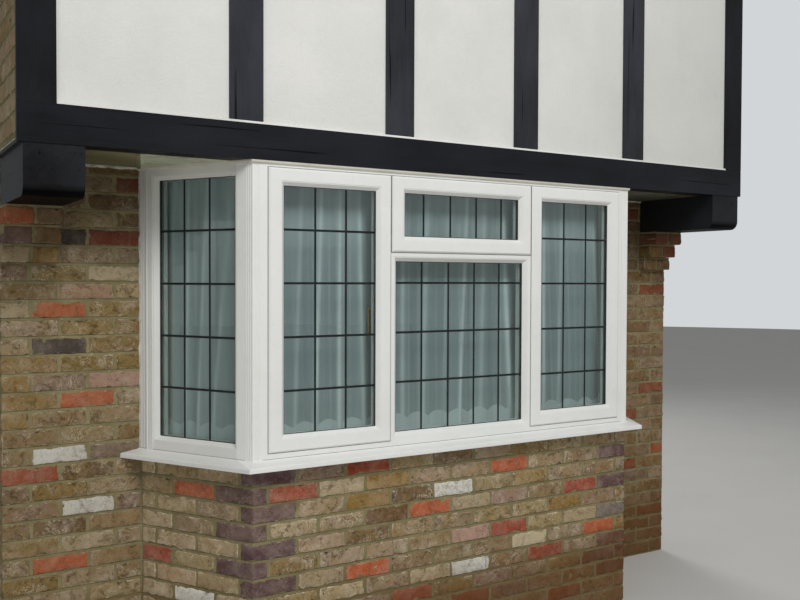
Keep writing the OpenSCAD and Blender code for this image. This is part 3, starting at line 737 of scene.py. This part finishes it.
def grow(holder, tree, inputs):
    """Runs a node tree on a carrier of points, and keeps the plain mesh."""
    modifier = holder.modifiers.new("grow", "NODES")
    modifier.node_group = tree
    sockets = {s.name: s.identifier for s in tree.interface.items_tree if s.in_out == "INPUT"}
    for key, value in inputs.items():
        modifier[sockets[key]] = value
    graph = bpy.context.evaluated_depsgraph_get()
    mesh = bpy.data.meshes.new_from_object(holder.evaluated_get(graph))
    mesh.name = holder.name
    bpy.data.objects.remove(holder)
    return mesh


# Colours of single bricks that stand out from the run of the wall
BRICK_COLOURS = {
    "red": (160, 70, 50), "orange": (188, 92, 56), "plum": (92, 66, 74),
    "ochre": (146, 114, 56), "white": (230, 228, 218), "grey": (122, 112, 106),
    "pink": (182, 146, 128), "brown": (110, 80, 48), "blue": (52, 54, 66),
    "light": (200, 184, 150), "crimson": (132, 54, 48), "maroon": (98, 60, 54),
}
# The bricks with such a colour, by wall, course and place in the course
ACCENTS = {
    "front": {
        11: {-1: "plum", 1: "red"},
        10: {-1: "plum", 0: "red", 2: "ochre", 5: "orange", 8: "plum"},
        9: {-1: "plum", 1: "ochre", 3: "white"},
        8: {-1: "plum", 2: "brown", 3: "orange", 7: "red", 8: "plum"},
        7: {-1: "plum", 6: "ochre"},
        6: {-1: "plum", 4: "pink", 5: "red", 8: "grey"},
        5: {-1: "plum", 1: "orange", 5: "light", 7: "orange"},
        4: {4: "white", 6: "red", 8: "maroon"},
        3: {7: "maroon", 8: "maroon", 2: "red"},
        2: {1: "brown", 4: "red", 8: "maroon"},
        1: {0: "brown", 3: "brown", 6: "red"},
    },
    "side": {10: {0: "orange"}, 6: {1: "red"}, 4: {0: "white"}},
    "left": {
        27: {2: "crimson"}, 25: {0: "orange", 1: "brown"},
        24: {0: "plum", 1: "brown", 2: "blue", 3: "crimson"}, 23: {1: "ochre"},
        22: {2: "light"}, 20: {1: "orange"}, 18: {1: "blue"}, 16: {2: "pink"},
        15: {1: "orange"}, 12: {1: "white"}, 11: {0: "red"}, 9: {1: "white"},
        6: {1: "orange"},
    },
    "right": {
        27: {1: "red"}, 25: {0: "crimson", 1: "crimson"}, 24: {0: "red", 1: "ochre"},
        21: {0: "red"}, 13: {0: "red"}, 11: {1: "red"}, 8: {0: "orange"},
        7: {1: "red"}, 3: {0: "red"}, 1: {1: "pink"},
    },
}
# Colours that a share of the other bricks take on faintly
FAINT, FAINT_SHARE = ("ochre", "brown", "grey", "pink", "ochre", "light"), 0.3
# Bricks of the wall beside the bay, from its end: outer place, inner place and depth
WALL_ODD = ((1.891, 1.673, END_DEPTH), (1.663, 1.448, SKIN), (1.438, 1.334, SKIN))
WALL_EVEN = ((1.891, 1.785, END_DEPTH), (1.775, 1.560, SKIN), (1.550, 1.336, SKIN))
HEADERS = (WALL_EVEN[0], (1.775, 1.673, SKIN))
BESIDE_HEADERS = (((1.663, 1.560, SKIN), WALL_EVEN[2]), WALL_ODD[1:])
# Bricks along the wall's end, behind those that turn its corner
END_LIMIT = BACK_Y - 0.001
END_ODD, END_EVEN = ((0.2425, END_LIMIT),), ((0.2375, 0.345), (0.355, END_LIMIT))
# Bricks of the bay's sides behind the long and the short leg of a squint
SIDE_LONG = ((0.200, 0.415), (0.425, 0.597))
SIDE_SHORT = ((0.072, 0.287), (0.297, 0.512), (0.522, 0.597))
LONG_LEG, SHORT_LEG = 0.190, 0.062
# Bricks in a course of the bay's front, and where the first starts in even and odd ones
FRONT_BRICKS, FRONT_STARTS = 8, (-0.958, -0.830)


class Courses:
    """Bricks gathered for one piece: their middles, sizes, turns and colours."""

    def __init__(self, kit, stream, wall=None):
        self.looks, self.blank, self.brick = kit
        self.draw = random.Random(self.looks.seed + stream)
        self.wall = wall
        self.points, self.stretch, self.turn = [], [], []
        self.tint, self.accent, self.share = [], [], []

    def lay(self, face, start, end, course, index=0, depth=SKIN, top=math.inf, ahead=0.0):
        """Adds a brick between two places of a course; ahead is how far it is corbelled."""
        looks = self.looks
        low, high = course * COURSE + looks.joint, min((course + 1) * COURSE, top)
        long, tall = abs(end - start), high - low
        # No brick where there is no room for two rounded edges
        if min(long, tall) < 2.5 * looks.edge:
            return
        shy = [looks.uneven * self.draw.random() for _ in range(4)]
        along, up = (middle + (off - looks.uneven / 2) / 2 for middle, off in (
            ((start + end) / 2, shy[0]), ((low + high) / 2, shy[1])))
        self.points.append(face.at(along, up, looks.proud + ahead - shy[2] / 2))
        self.stretch.append((long / 2 - looks.edge - shy[3] / 2, (depth + ahead) / 2,
                             tall / 2 - looks.edge - shy[0] / 3))
        self.turn.append(face.turn)
        self.colour(course, index)

    def colour(self, course, index):
        """A colour of its own where it is known, and a faint one for some of the others."""
        name = ACCENTS.get(self.wall, {}).get(course, {}).get(index)
        self.tint.append(self.draw.random())
        strength = 0.88 + 0.1 * self.draw.random()
        if name is None and self.draw.random() < FAINT_SHARE:
            name = self.draw.choice(FAINT)
            strength = 0.2 + 0.35 * self.draw.random()
        self.accent.append(linear(*BRICK_COLOURS[name or "grey"]))
        self.share.append(strength if name else 0.0)

    def mesh(self, name, blank=None):
        points = carrier(name, self.points, [], stretch=self.stretch, turn=self.turn,
                         tint=self.tint, share=self.share, accent=self.accent)
        return grow(points, bpy.data.node_groups["facing_bricks"], {
            "Blank": blank or self.blank, "Wobble": self.looks.wobble,
            "Chipping": self.looks.chipping, "Coarseness": self.looks.coarseness,
            "Material": self.brick})

    def piece(self, name):
        return add_piece(name, self.mesh(name))


def joined(name, meshes):
    """One mesh from several, with their attributes kept."""
    pieces = [in_scene(name, mesh) for mesh in meshes]
    with bpy.context.temp_override(active_object=pieces[0], selected_editable_objects=pieces):
        bpy.ops.object.join()
    mesh = pieces[0].data
    bpy.data.objects.remove(pieces[0])
    mesh.name = name
    return mesh


class BrickSettings(bpy.types.PropertyGroup):
    joint: bpy.props.FloatProperty(
        name="Joint", description="Thickness of the mortar joints",
        default=0.010, min=0.006, max=0.015, unit="LENGTH")
    proud: bpy.props.FloatProperty(
        name="Proud", description="Face of the bricks in front of the mortar",
        default=0.0028, min=0.0, max=0.008, unit="LENGTH")
    edge: bpy.props.FloatProperty(
        name="Edge Radius", description="Rounding of the worn brick edges",
        default=0.0045, min=0.001, max=0.010, unit="LENGTH")
    wobble: bpy.props.FloatProperty(
        name="Wobble", description="How far the edges of a brick wander",
        default=0.0095, min=0.0, max=0.015, unit="LENGTH")
    uneven: bpy.props.FloatProperty(
        name="Unevenness", description="Greatest difference in size and place between bricks",
        default=0.0035, min=0.0, max=0.006, unit="LENGTH")
    chipping: bpy.props.FloatProperty(
        name="Chipping", description="How deep chips bite into the edges",
        default=14.0, min=0.0, max=20.0)
    coarseness: bpy.props.FloatProperty(
        name="Coarseness", description="Number of bends of an edge along one metre",
        default=29.0, min=5.0, max=80.0)
    seed: bpy.props.IntProperty(
        name="Seed", description="Choice of the mixed brick colours", default=7)


class BAYWINDOW_OT_facing_bricks(bpy.types.Operator):
    """Lay the facing bricks on the walls, the bay and the brick returns"""

    bl_idname = "bay_window.facing_bricks"
    bl_label = "Facing Bricks"

    def execute(self, context):
        looks = context.scene.bay_window_bricks
        brick, mortar = brick_finish(), mortar_finish()
        paint(mortar, "wall_left", "wall_right", "bay_brick_left", "bay_brick_front",
              "bay_brick_right", "brick_returns")
        self.corbel_beds(looks.joint, mortar)
        brick_tree()
        blank = brick_blank(looks.edge)
        kit = looks, blank, brick
        self.bay(kit)
        for side, mirror in (("left", True), ("right", False)):
            self.wall(kit, side, mirror)
            self.side(kit, side, mirror)
            self.returns(kit, side, mirror)
        bpy.data.objects.remove(blank)
        return {"FINISHED"}

    def bay(self, kit):
        """The front of the bay with the squints at its corners, long leg by turns."""
        looks = kit[0]
        run = Courses(kit, 0, "front")
        corners = {}
        for course in range(BASE_COURSES):
            odd = course % 2 == 1
            for i in range(FRONT_BRICKS):
                start = FRONT_STARTS[odd] + STEP * i
                run.lay(BAY_FRONT, start, start + BRICK, course, i)
            for flip in (True, False):
                wide = odd == flip
                stream = 3 + 2 * flip + wide
                squint = corners.setdefault((flip, wide), Courses(kit, stream, "front"))
                up = ((2 * course + 1) * COURSE + looks.joint) / 2
                place = Vector((BAY_HALF, FRONT_Y, up)) + CORNER_OUT * looks.proud
                squint.points.append(place * FLIP if flip else place)
                squint.stretch.append((1, 1, 1))
                squint.turn.append(0.0)
                squint.colour(course, -1 if flip else FRONT_BRICKS)
        meshes = [run.mesh("facing_bricks_front")]
        for (flip, wide), squint in corners.items():
            legs = (LONG_LEG, SHORT_LEG) if wide else (SHORT_LEG, LONG_LEG)
            bent = squint_blank(*legs, COURSE - looks.joint, looks.edge, flip)
            meshes.append(squint.mesh("squints", bent))
            bpy.data.objects.remove(bent)
        add_piece("facing_bricks_bay", joined("facing_bricks_bay", meshes))

    def wall(self, kit, side, mirror):
        """The wall beside the bay, with its stepped courses under the bracket."""
        run = Courses(kit, 11 + mirror, side)
        face = handed(RIGHT_WALL, mirror)
        for course in range(WALL_COURSES):
            spans = WALL_ODD if course % 2 else WALL_EVEN
            if course in CORBEL:
                spans = HEADERS + BESIDE_HEADERS[course % 2]
            for i, (end, start, depth) in enumerate(spans):
                ahead = CORBEL.get(course, 0.0) if i < len(HEADERS) else 0.0
                run.lay(face, start, end, course, i, depth, SOFFIT_Z - 0.002, ahead)
        run.piece(f"facing_bricks_wall_{side}")

    def corbel_beds(self, joint, mortar):
        """Mortar in and on the brick courses that step out under the brackets."""
        bm = bmesh.new()
        for mirror in (True, False):
            face = handed(RIGHT_WALL, mirror)
            for course, ahead in CORBEL.items():
                foot, head = course * COURSE + joint + 0.002, (course + 1) * COURSE - 0.001
                for low, high, out in ((foot, head, ahead - 0.003),
                                       (head, head + joint + 0.001, ahead)):
                    up, half = (low + high) / 2, (high - low) / 2
                    bar(bm, face.at(CORBEL_START, up), face.at(CORBEL_END, up),
                        strip(half, -0.001, out), face.out)
        add_solid("corbel_mortar", bm, mortar)

    def side(self, kit, side, mirror):
        """A slanted side of the bay under the window."""
        run = Courses(kit, 21 + mirror, "side" if mirror else None)
        face = handed(RIGHT_SIDE, mirror)
        for course in range(BASE_COURSES):
            spans = SIDE_LONG if (course % 2 == 0) == mirror else SIDE_SHORT
            for i, (start, end) in enumerate(spans):
                run.lay(face, start, end, course, i)
        run.piece(f"facing_bricks_side_{side}")

    def returns(self, kit, side, mirror):
        """The end of the wall, and above it the end of the brick beside the storey."""
        run = Courses(kit, 31 + mirror)
        face = handed(RIGHT_END, mirror)
        for course in range(WALL_COURSES):
            for start, end in END_ODD if course % 2 else END_EVEN:
                run.lay(face, start, end, course, top=SOFFIT_Z + 0.010)
        face = handed(RIGHT_RETURN, mirror)
        for course in range(WALL_COURSES, TOP_COURSES):
            start = RETURN_FRONT if course % 2 else RETURN_FRONT - STEP / 2
            while start < BACK_Y - 0.03:
                run.lay(face, max(start, RETURN_FRONT + 0.002),
                        min(start + BRICK, END_LIMIT), course)
                start += STEP
        run.piece(f"facing_bricks_end_{side}")


# Glazing


class GlazingSettings(bpy.types.PropertyGroup):
    lead_wide: bpy.props.FloatProperty(
        name="Lead Width", description="Width of the lead strips on the glass",
        default=0.0095, min=0.006, max=0.016, unit="LENGTH")
    lead_thick: bpy.props.FloatProperty(
        name="Lead Thickness", description="Height of the lead strips above the glass",
        default=0.0018, min=0.0008, max=0.004, unit="LENGTH")
    gasket: bpy.props.FloatProperty(
        name="Gasket", description="Width of the dark gasket round each pane",
        default=0.003, min=0.001, max=0.006, unit="LENGTH")
    seal: bpy.props.FloatProperty(
        name="Seal", description="Width of the dark seal round each opening sash",
        default=0.0024, min=0.001, max=0.005, unit="LENGTH")


# Heights of the level leads, and places of the upright ones in the middle lights
CASEMENT_ROWS, SIDE_ROWS = (1.213, 1.433, 1.654, 1.873), (1.209, 1.429, 1.650, 1.872)
MIDDLE_LEADS = (-0.2175, -0.0725, 0.0725, 0.2175)
# Glass node, face, upright leads by number or place, heights of the level ones, and how
# far the beads hide the glass
LIGHTS = {
    "side_left": ("glass_side_left", LEFT_SIDE, 2, SIDE_ROWS, 0.018),
    "side_right": ("glass_side_right", RIGHT_SIDE, 2, SIDE_ROWS, 0.018),
    "casement_left": ("glass_casement_left", BAY_FRONT, 2, CASEMENT_ROWS, 0.016),
    "casement_right": ("glass_casement_right", BAY_FRONT, 2, CASEMENT_ROWS, 0.016),
    "opener": ("glass_opener", BAY_FRONT, MIDDLE_LEADS, (), 0.016),
    "fixed": ("glass_fixed", BAY_FRONT, MIDDLE_LEADS, (1.218, 1.437, 1.656), 0.018),
}
SASHES = ("casement_left", "casement_right", "top_opener")
FRAMES = ("frame_left", "frame_front", "frame_right")
SILLS = ("sill_left", "sill_front", "sill_right")
# Face, start and end of the joints between frame and sill
SILL_JOINTS = (
    (BAY_FRONT, -0.99, 0.99), (LEFT_SIDE, 0.035, 0.594), (RIGHT_SIDE, 0.035, 0.594),
)
# Cover strips of the side frames: their place along the side and their section
JAMB = 0.562
JAMB_SECTION = ((0.0, -0.001), (0.0, 0.003), (0.002, 0.0055), (0.006, 0.0055),
                (0.009, 0.0035), (0.034, 0.0035), (0.034, -0.001))


def opening(light):
    """Glass that shows in a light: its face, left, right, foot and head, and how far out."""
    name, face, _, _, hidden = LIGHTS[light]
    origin = face.start.dot(face.along)
    low, high = (p - origin for p in extent(name, face.along))
    foot, head = extent(name, Z)
    out = extent(name, face.out)[1] - face.start.dot(face.out)
    return face, (low + hidden, high - hidden, foot + hidden, head - hidden), out


class BAYWINDOW_OT_leads(bpy.types.Operator):
    """Fix the lead strips on the glass, with a soldered joint at each crossing"""

    bl_idname = "bay_window.leads"
    bl_label = "Leads"

    def execute(self, context):
        looks = context.scene.bay_window_glazing
        lead = two_tones("window_lead", (22, 24, 26), (48, 51, 53), 0.6, (45, 4, 0.65),
                         (120, 3), 0.4, 0.0008, metal=0.3)
        half, thick = looks.lead_wide / 2, looks.lead_thick
        section = [(-half, 0), (-half * 0.92, thick * 0.55), (-half * 0.5, thick),
                   (half * 0.5, thick), (half * 0.92, thick * 0.55), (half, 0)]
        # The level leads lie a little lower, so that no two faces share a plane
        flat = [(a, b * 0.94) for a, b in section]
        for light, (_, _, columns, rows, _) in LIGHTS.items():
            face, (low, high, foot, head), out = opening(light)
            if isinstance(columns, int):
                columns = [low + (high - low) * (i + 1) / (columns + 1) for i in range(columns)]
            bm = bmesh.new()
            for place in columns:
                bar(bm, face.at(place, foot, out), face.at(place, head, out), section, face.out)
            for height in rows:
                bar(bm, face.at(low, height, out), face.at(high, height, out), flat, face.out)
                for place in columns:
                    self.solder(bm, face, place, height, out, half * 1.25, thick * 1.25)
            add_solid(f"leads_{light}", bm, lead)
        return {"FINISHED"}

    def solder(self, bm, face, along, up, out, radius, thick):
        angles = [math.tau * k / 10 for k in range(10)]
        skin(bm, [[face.at(along + radius * reach * math.cos(a),
                           up + radius * reach * math.sin(a), out + thick * height)
                   for a in angles]
                  for reach, height in ((1.0, 0.0), (0.85, 0.6), (0.45, 1.0))])


class BAYWINDOW_OT_window(bpy.types.Operator):
    """Finish the plastic window, its glass, gaskets and sill"""

    bl_idname = "bay_window.window"
    bl_label = "Window"

    def execute(self, context):
        looks = context.scene.bay_window_glazing
        plastic = plastic_finish()
        paint(plastic, *FRAMES, *SASHES, *SILLS, "glazing_beads", "corner_pole_left",
              "corner_pole_right", "curtain_rail", "flashing")
        paint(glass_finish(), *(light[0] for light in LIGHTS.values()))
        paint(two_tones("trim_paint", (208, 205, 190), (224, 221, 208), 0.6, (12, 4, 0.65),
                        depth=0.0006), "head_trim")
        paint(two_tones("painted_board", (222, 220, 210), (236, 234, 226), 0.45, (4, 4),
                        (70, 3), 0.2, 0.0008), "window_board")
        paint(two_tones("spacer_bar", (60, 62, 62), (92, 94, 94), 0.5, (30, 4, 0.65),
                        metal=0.4), "glass_spacers")
        paint(two_tones("handle_brass", (150, 116, 58), (196, 158, 88), 0.3, (40, 4, 0.65),
                        depth=0.0004, metal=0.9), "window_handles")
        soften(0.0012, *SASHES, *FRAMES, *SILLS)
        soften(0.002, "window_board")
        soften(0.0015, "window_handles")
        self.gaskets(looks.gasket)
        self.seals(looks.seal / 2)
        self.jambs(plastic)
        return {"FINISHED"}

    def gaskets(self, wide):
        """Dark gasket round the glass that shows."""
        bm = bmesh.new()
        for light in LIGHTS:
            face, box, out = opening(light)
            surround(bm, face, box, wide / 2, out, strip(wide / 2, 0, wide * 0.8))
        add_solid("glass_gaskets", bm, two_tones(
            "gasket_rubber", (52, 54, 52), (74, 76, 72), 0.7, (60, 4, 0.65)))

    def seals(self, half):
        """Dark seal strips between each sash and its frame and along the joint of frame and
        sill: partly real seals, partly painted shadow lines.
        """
        bm = bmesh.new()
        for name in SASHES:
            low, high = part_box(name)
            surround(bm, BAY_FRONT, (low.x, high.x, low.z, high.z), -half, FRAME_OUT,
                     strip(half, 0, half))
        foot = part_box("frame_front")[0].z + 0.0006
        for face, start, end in SILL_JOINTS:
            bar(bm, face.at(start, foot, FRAME_OUT), face.at(end, foot, FRAME_OUT),
                strip(half * 0.6, 0, half * 0.6), face.out)
        add_solid("sash_seals", bm, two_tones(
            "sash_seal", (98, 100, 98), (126, 128, 124), 0.7, (60, 4, 0.65)))

    def jambs(self, plastic):
        """Cover strips with a rounded edge where the side frames meet the wall."""
        low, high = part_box("frame_left")[0].z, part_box("frame_left")[1].z - 0.013
        bm = bmesh.new()
        for face, way in ((LEFT_SIDE, 1), (RIGHT_SIDE, -1)):
            bar(bm, face.at(JAMB, low, FRAME_OUT), face.at(JAMB, high, FRAME_OUT),
                [(a * way, b) for a, b in JAMB_SECTION], face.out)
        add_solid("jamb_strips", bm, plastic)


# Net curtains


class NetSettings(bpy.types.PropertyGroup):
    fold: bpy.props.FloatProperty(
        name="Fold Depth", description="Half the depth of a fold in the nets",
        default=0.0095, min=0.002, max=0.012, unit="LENGTH")
    spacing: bpy.props.FloatProperty(
        name="Fold Spacing", description="Mean distance between folds",
        default=0.115, min=0.04, max=0.2, unit="LENGTH")
    hem: bpy.props.FloatProperty(
        name="Hem", description="Height of the doubled hem at the foot of the nets",
        default=0.11, min=0.0, max=0.15, unit="LENGTH")
    thick: bpy.props.FloatProperty(
        name="Fabric Thickness", description="Thickness of the net fabric",
        default=0.0006, min=0.0002, max=0.0015, unit="LENGTH")


# Name, face, start and end along it, distance behind it, and the choice of folds
NETS = (
    ("net_front", BAY_FRONT, -0.9515, 0.9515, 0.115, 5),
    ("net_left", LEFT_SIDE, 0.0583, 0.5421, 0.080, 9),
    ("net_right", RIGHT_SIDE, 0.0583, 0.5421, 0.080, 14),
)
# Width of a net's columns and number of its rows
NET_COLUMN, NET_ROWS = 0.006, 60


class BAYWINDOW_OT_nets(bpy.types.Operator):
    """Hang the gathered net curtains from the rail behind the glass"""

    bl_idname = "bay_window.nets"
    bl_label = "Net Curtains"

    def execute(self, context):
        looks = context.scene.bay_window_nets
        fabric = net_finish()
        made = [self.net(looks, fabric, *net) for net in NETS]
        for piece in made:
            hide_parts("net_curtains")
        return {"FINISHED"}

    def net(self, looks, fabric, name, face, start, end, back, seed):
        low, high = extent("net_curtains", Z)
        across = round((end - start) / NET_COLUMN)
        bm = bmesh.new()
        layers = bm.verts.layers.float
        density_and_light, hem = layers.new("dense"), layers.new("hem")
        rows = []
        for j in range(NET_ROWS + 1):
            up = low + (high - low) * j / NET_ROWS
            rows.append([])
            for i in range(across + 1):
                along = start + (end - start) * i / across
                out, dense = self.fold(looks, along, 1 - j / NET_ROWS, seed)
                vert = bm.verts.new(face.at(along, up, out - back))
                scallop = abs(math.sin(math.pi * along / looks.spacing))
                vert[density_and_light] = dense
                vert[hem] = low + looks.hem * (0.9 + 0.22 * scallop)
                rows[-1].append(vert)
        for lower, upper in zip(rows, rows[1:]):
            for i in range(across):
                bm.faces.new((lower[i], lower[i + 1], upper[i + 1], upper[i]))
        mesh = bpy.data.meshes.new(name)
        area = sum(f.calc_area() for f in bm.faces)
        bm.to_mesh(mesh)
        bm.free()
        mesh.shade_smooth()
        piece = add_piece(name, mesh, fabric)
        shell = piece.modifiers.new("thickness", "SOLIDIFY")
        shell.thickness = looks.thick
        shell.offset = 0.0
        return piece

    def fold(self, looks, along, hang, seed):
        """How far a point of the net stands out, and how dense the fabric looks there together
        with painted light on the crests and painted shade in the troughs.
        """
        def chance(*place):
            return noise.noise(Vector(place))

        sway = chance(along * 1.7, hang * 0.3, seed)
        phase = along / looks.spacing + 0.9 * sway
        lean = hang * 1.5 * chance(along * 2.6, seed, 0.5)
        crest = 0.5 + 0.5 * math.cos(math.tau * (phase + lean))
        second = 0.5 + 0.5 * math.cos(math.tau * (phase * 2.6 - lean + 0.3 * seed))
        strong = 0.55 + 0.9 * chance(round(phase) * 2.9, seed * 1.7, 0.2)
        faint = 0.4 + 0.8 * chance(round(phase * 2.6) * 1.9, 4.1, seed)
        strong, faint = (min(1.0, max(0.0, v)) for v in (strong, faint))
        top = max(0.0, 1 - hang * 5)
        size = looks.fold * (0.8 + 0.2 * sway)
        out = size * ((2 * crest - 1) * (0.7 - 0.25 * top)
                      + (2 * second - 1) * (0.08 + 0.2 * top))
        # Density with painted light: bright at the crests, dark in the troughs
        dense = 0.95 * strong * crest ** 10 + 0.4 * faint * second ** 9 + 0.08 * crest
        return out, min(1.0, dense)


# Timber, plaster and the inside

PALE = (168, 136, 96), (206, 176, 132)
# Finish, way of the grain, dark and light tone, what else it needs (under sets the painted
# shade on the underside), and the nodes
TIMBERS = (
    ("black_timber_beam", "x", (17, 18, 21), (37, 38, 43), {"under": 0.5}, "bressummer"),
    ("black_timber_stud", "z", (36, 37, 41), (62, 64, 70), {}, "studs"),
    ("black_timber_post", "z", (14, 14, 17), (34, 35, 39), {},
     "corner_post_left", "corner_post_right"),
    ("black_timber_bracket", "y", (16, 16, 18), (40, 41, 45), {"under": 0.85}, "brackets"),
    # Side plates: a darker copy of the black timber, as painted shade
    ("black_timber_plate", "y", (8, 8, 10), (30, 31, 35), {}, "side_plates"),
    ("pale_timber_joist", "y", *PALE, {"rough": 0.75}, "floor_joists"),
    ("pale_timber_board", "x", *PALE, {"rough": 0.7, "boards": 0.125}, "floor_deck"),
)


class BAYWINDOW_OT_upper_storey(bpy.types.Operator):
    """Paint the timber, the rendered panels, the soffit and the parts inside"""

    bl_idname = "bay_window.upper_storey"
    bl_label = "Upper Storey and Inside"

    def execute(self, context):
        for finish, way, dark, light, more, *names in TIMBERS:
            paint(timber_finish(finish, way, dark, light, **more), *names)
        paint(render_finish(), "render_panels")
        paint(soffit_finish(), "soffit")
        paint(block_finish(), "inner_wall_left", "inner_wall_right", "inner_wall_bay")
        paint(two_tones("lintel_concrete", (140, 139, 133), (176, 175, 168), 0.9,
                        (18, 4, 0.65), depth=0.002), "lintels")
        soften(0.003, "bressummer", "corner_post_left", "corner_post_right", "studs",
               "brackets", "side_plates")
        soften(0.0015, "floor_joists", "floor_deck", "lintels", "soffit", "render_panels")
        self.pointing()
        return {"FINISHED"}

    def pointing(self):
        """Ragged mortar where the walls meet the soffit, the frames and the timber."""
        bm = bmesh.new()
        # Inner end of the wall, foot of its frame joint, and foot of the brick return
        inner, foot, line = 1.3355, 0.942, SOFFIT_Z + 0.013
        for seed, mirror in enumerate((False, True)):
            wall, end = handed(RIGHT_WALL, mirror), handed(RIGHT_RETURN, mirror)
            head, corner = wall.at(inner, SOFFIT_Z), end.at(RETURN_FRONT, line)
            for start, stop, out, across, size, stream in (
                (head, wall.at(WALL_HALF, SOFFIT_Z), wall.out, -Z, 0.009, 3),
                (wall.at(inner, foot), head, wall.out, wall.along, 0.005, 7),
                (corner, end.at(WALL_Y, line), end.out, Z, 0.0035, 5),
                (corner, end.at(RETURN_FRONT, TOP_Z), end.out, Y, 0.0026, 11),
            ):
                ragged_bead(bm, start, stop, out, across, size, stream + seed)
        add_solid("pointing", bm, two_tones(
            "pointing_mortar", (150, 148, 134), (222, 221, 212), 0.9, (26, 5, 0.7),
            (90, 4, 0.7), 0.8, 0.003, high=0.65, shine=0.2))


# Stage


class StageSettings(bpy.types.PropertyGroup):
    eye: bpy.props.FloatVectorProperty(
        name="Camera Place", description="Place of the camera", size=3,
        default=(-2.416056, -3.770606, 1.669635), subtype="TRANSLATION", unit="LENGTH")
    heading: bpy.props.FloatProperty(
        name="Heading", description="Turn of the camera to the right of the wall's square",
        default=math.radians(31.551), subtype="ANGLE", unit="ROTATION")
    pitch: bpy.props.FloatProperty(
        name="Pitch", description="Tilt of the camera above level",
        default=math.radians(-1.281), subtype="ANGLE", unit="ROTATION")
    roll: bpy.props.FloatProperty(
        name="Roll", description="Turn of the camera about its own axis",
        default=math.radians(0.192), subtype="ANGLE", unit="ROTATION")
    lens: bpy.props.FloatProperty(
        name="Lens", description="Focal length of the camera", default=40.644, unit="CAMERA")
    sky: bpy.props.FloatProperty(
        name="Sky", description="Strength of the even light from all round", default=0.34)
    backdrop: bpy.props.FloatProperty(
        name="Backdrop", description="Brightness of the plain backdrop", default=0.8)
    window_light: bpy.props.FloatProperty(
        name="Soft Light", description="Power of the large soft light in front",
        default=400.0, subtype="POWER")


# Name, place, what it aims at, size and share of the power of the soft light
LAMPS = (
    ("key", (-1.1, -6.4, 7.0), (0, 0, 1.4), 3.5, 1.0),
    ("fill", (-6.0, -4.5, 1.9), (0, 0, 0.8), 2.5, 0.08),
    ("back", (3.0, 6.5, 5.0), (0, 0, 1.4), 3.5, 0.45),
)


class BAYWINDOW_OT_stage(bpy.types.Operator):
    """Set the floor, the soft studio light and the camera"""

    bl_idname = "bay_window.stage"
    bl_label = "Stage"

    def execute(self, context):
        scene = context.scene
        looks = scene.bay_window_stage
        scene.view_settings.view_transform = "Standard"
        bm = bmesh.new()
        bmesh.ops.create_circle(bm, cap_ends=True, segments=96, radius=30)
        mesh = bpy.data.meshes.new("studio_floor")
        bm.to_mesh(mesh)
        bm.free()
        mesh.materials.append(two_tones(
            "studio_floor", (206, 204, 199), (210, 208, 203), 0.8, (1.5, 4, 0.65)))
        in_scene("studio_floor", mesh)
        scene.world = self.sky(looks)
        for name, place, aim, size, share in LAMPS:
            lamp = bpy.data.lights.new(name, "AREA")
            lamp.shape, lamp.size, lamp.energy = "DISK", size, looks.window_light * share
            rig = in_scene(name, lamp)
            rig.location = place
            way = Vector(aim) - rig.location
            rig.rotation_euler = way.to_track_quat("-Z", "Y").to_euler()
            rig.visible_glossy = False
        lens = bpy.data.cameras.new("camera")
        lens.lens = looks.lens
        lens.sensor_width = 36.0
        camera = in_scene("camera", lens)
        turn = Matrix.Translation(looks.eye)
        for angle, axis in ((-looks.heading, "Z"), (math.pi / 2 + looks.pitch, "X"),
                            (looks.roll, "Z")):
            turn = turn @ Matrix.Rotation(angle, 4, axis)
        camera.matrix_world = turn
        scene.camera = camera
        return {"FINISHED"}

    def sky(self, looks):
        """Even light from all round, with a brighter backdrop for the camera alone."""
        world = bpy.data.worlds.new("studio")
        world.use_nodes = True
        t = Tree(world.node_tree)
        back = world.node_tree.nodes["Background"]
        back.inputs["Color"].default_value = linear(232, 235, 238)
        seen = t.add("ShaderNodeLightPath").outputs["Is Camera Ray"]
        strength = t.plus(t.times(seen, looks.backdrop - looks.sky), looks.sky)
        world.node_tree.links.new(strength, back.inputs["Strength"])
        return world


ORDER = (
    BAYWINDOW_OT_stage,
    BAYWINDOW_OT_facing_bricks,
    BAYWINDOW_OT_window,
    BAYWINDOW_OT_leads,
    BAYWINDOW_OT_nets,
    BAYWINDOW_OT_upper_storey,
)
SETTINGS = {
    "bay_window_bricks": BrickSettings,
    "bay_window_glazing": GlazingSettings,
    "bay_window_nets": NetSettings,
    "bay_window_stage": StageSettings,
}


class BAYWINDOW_PT_panel(bpy.types.Panel):
    """Sidebar panel that lists the pieces"""

    bl_label = "Bay Window"
    bl_space_type = "VIEW_3D"
    bl_region_type = "UI"
    bl_category = "Bay Window"

    def draw(self, context):
        for step in ORDER:
            self.layout.operator(step.bl_idname)
        for name, group in SETTINGS.items():
            box = self.layout.box()
            for key in group.__annotations__:
                box.prop(getattr(context.scene, name), key)


CLASSES = (*SETTINGS.values(), *ORDER, BAYWINDOW_PT_panel)


def register():
    for cls in CLASSES:
        bpy.utils.register_class(cls)
    for name, group in SETTINGS.items():
        setattr(bpy.types.Scene, name, bpy.props.PointerProperty(type=group))


def unregister():
    for name in SETTINGS:
        delattr(bpy.types.Scene, name)
    for cls in reversed(CLASSES):
        bpy.utils.unregister_class(cls)


def main():
    register()
    for step in ORDER:
        getattr(bpy.ops.bay_window, step.bl_idname.split(".")[1])()


if __name__ == "__main__":
    main()
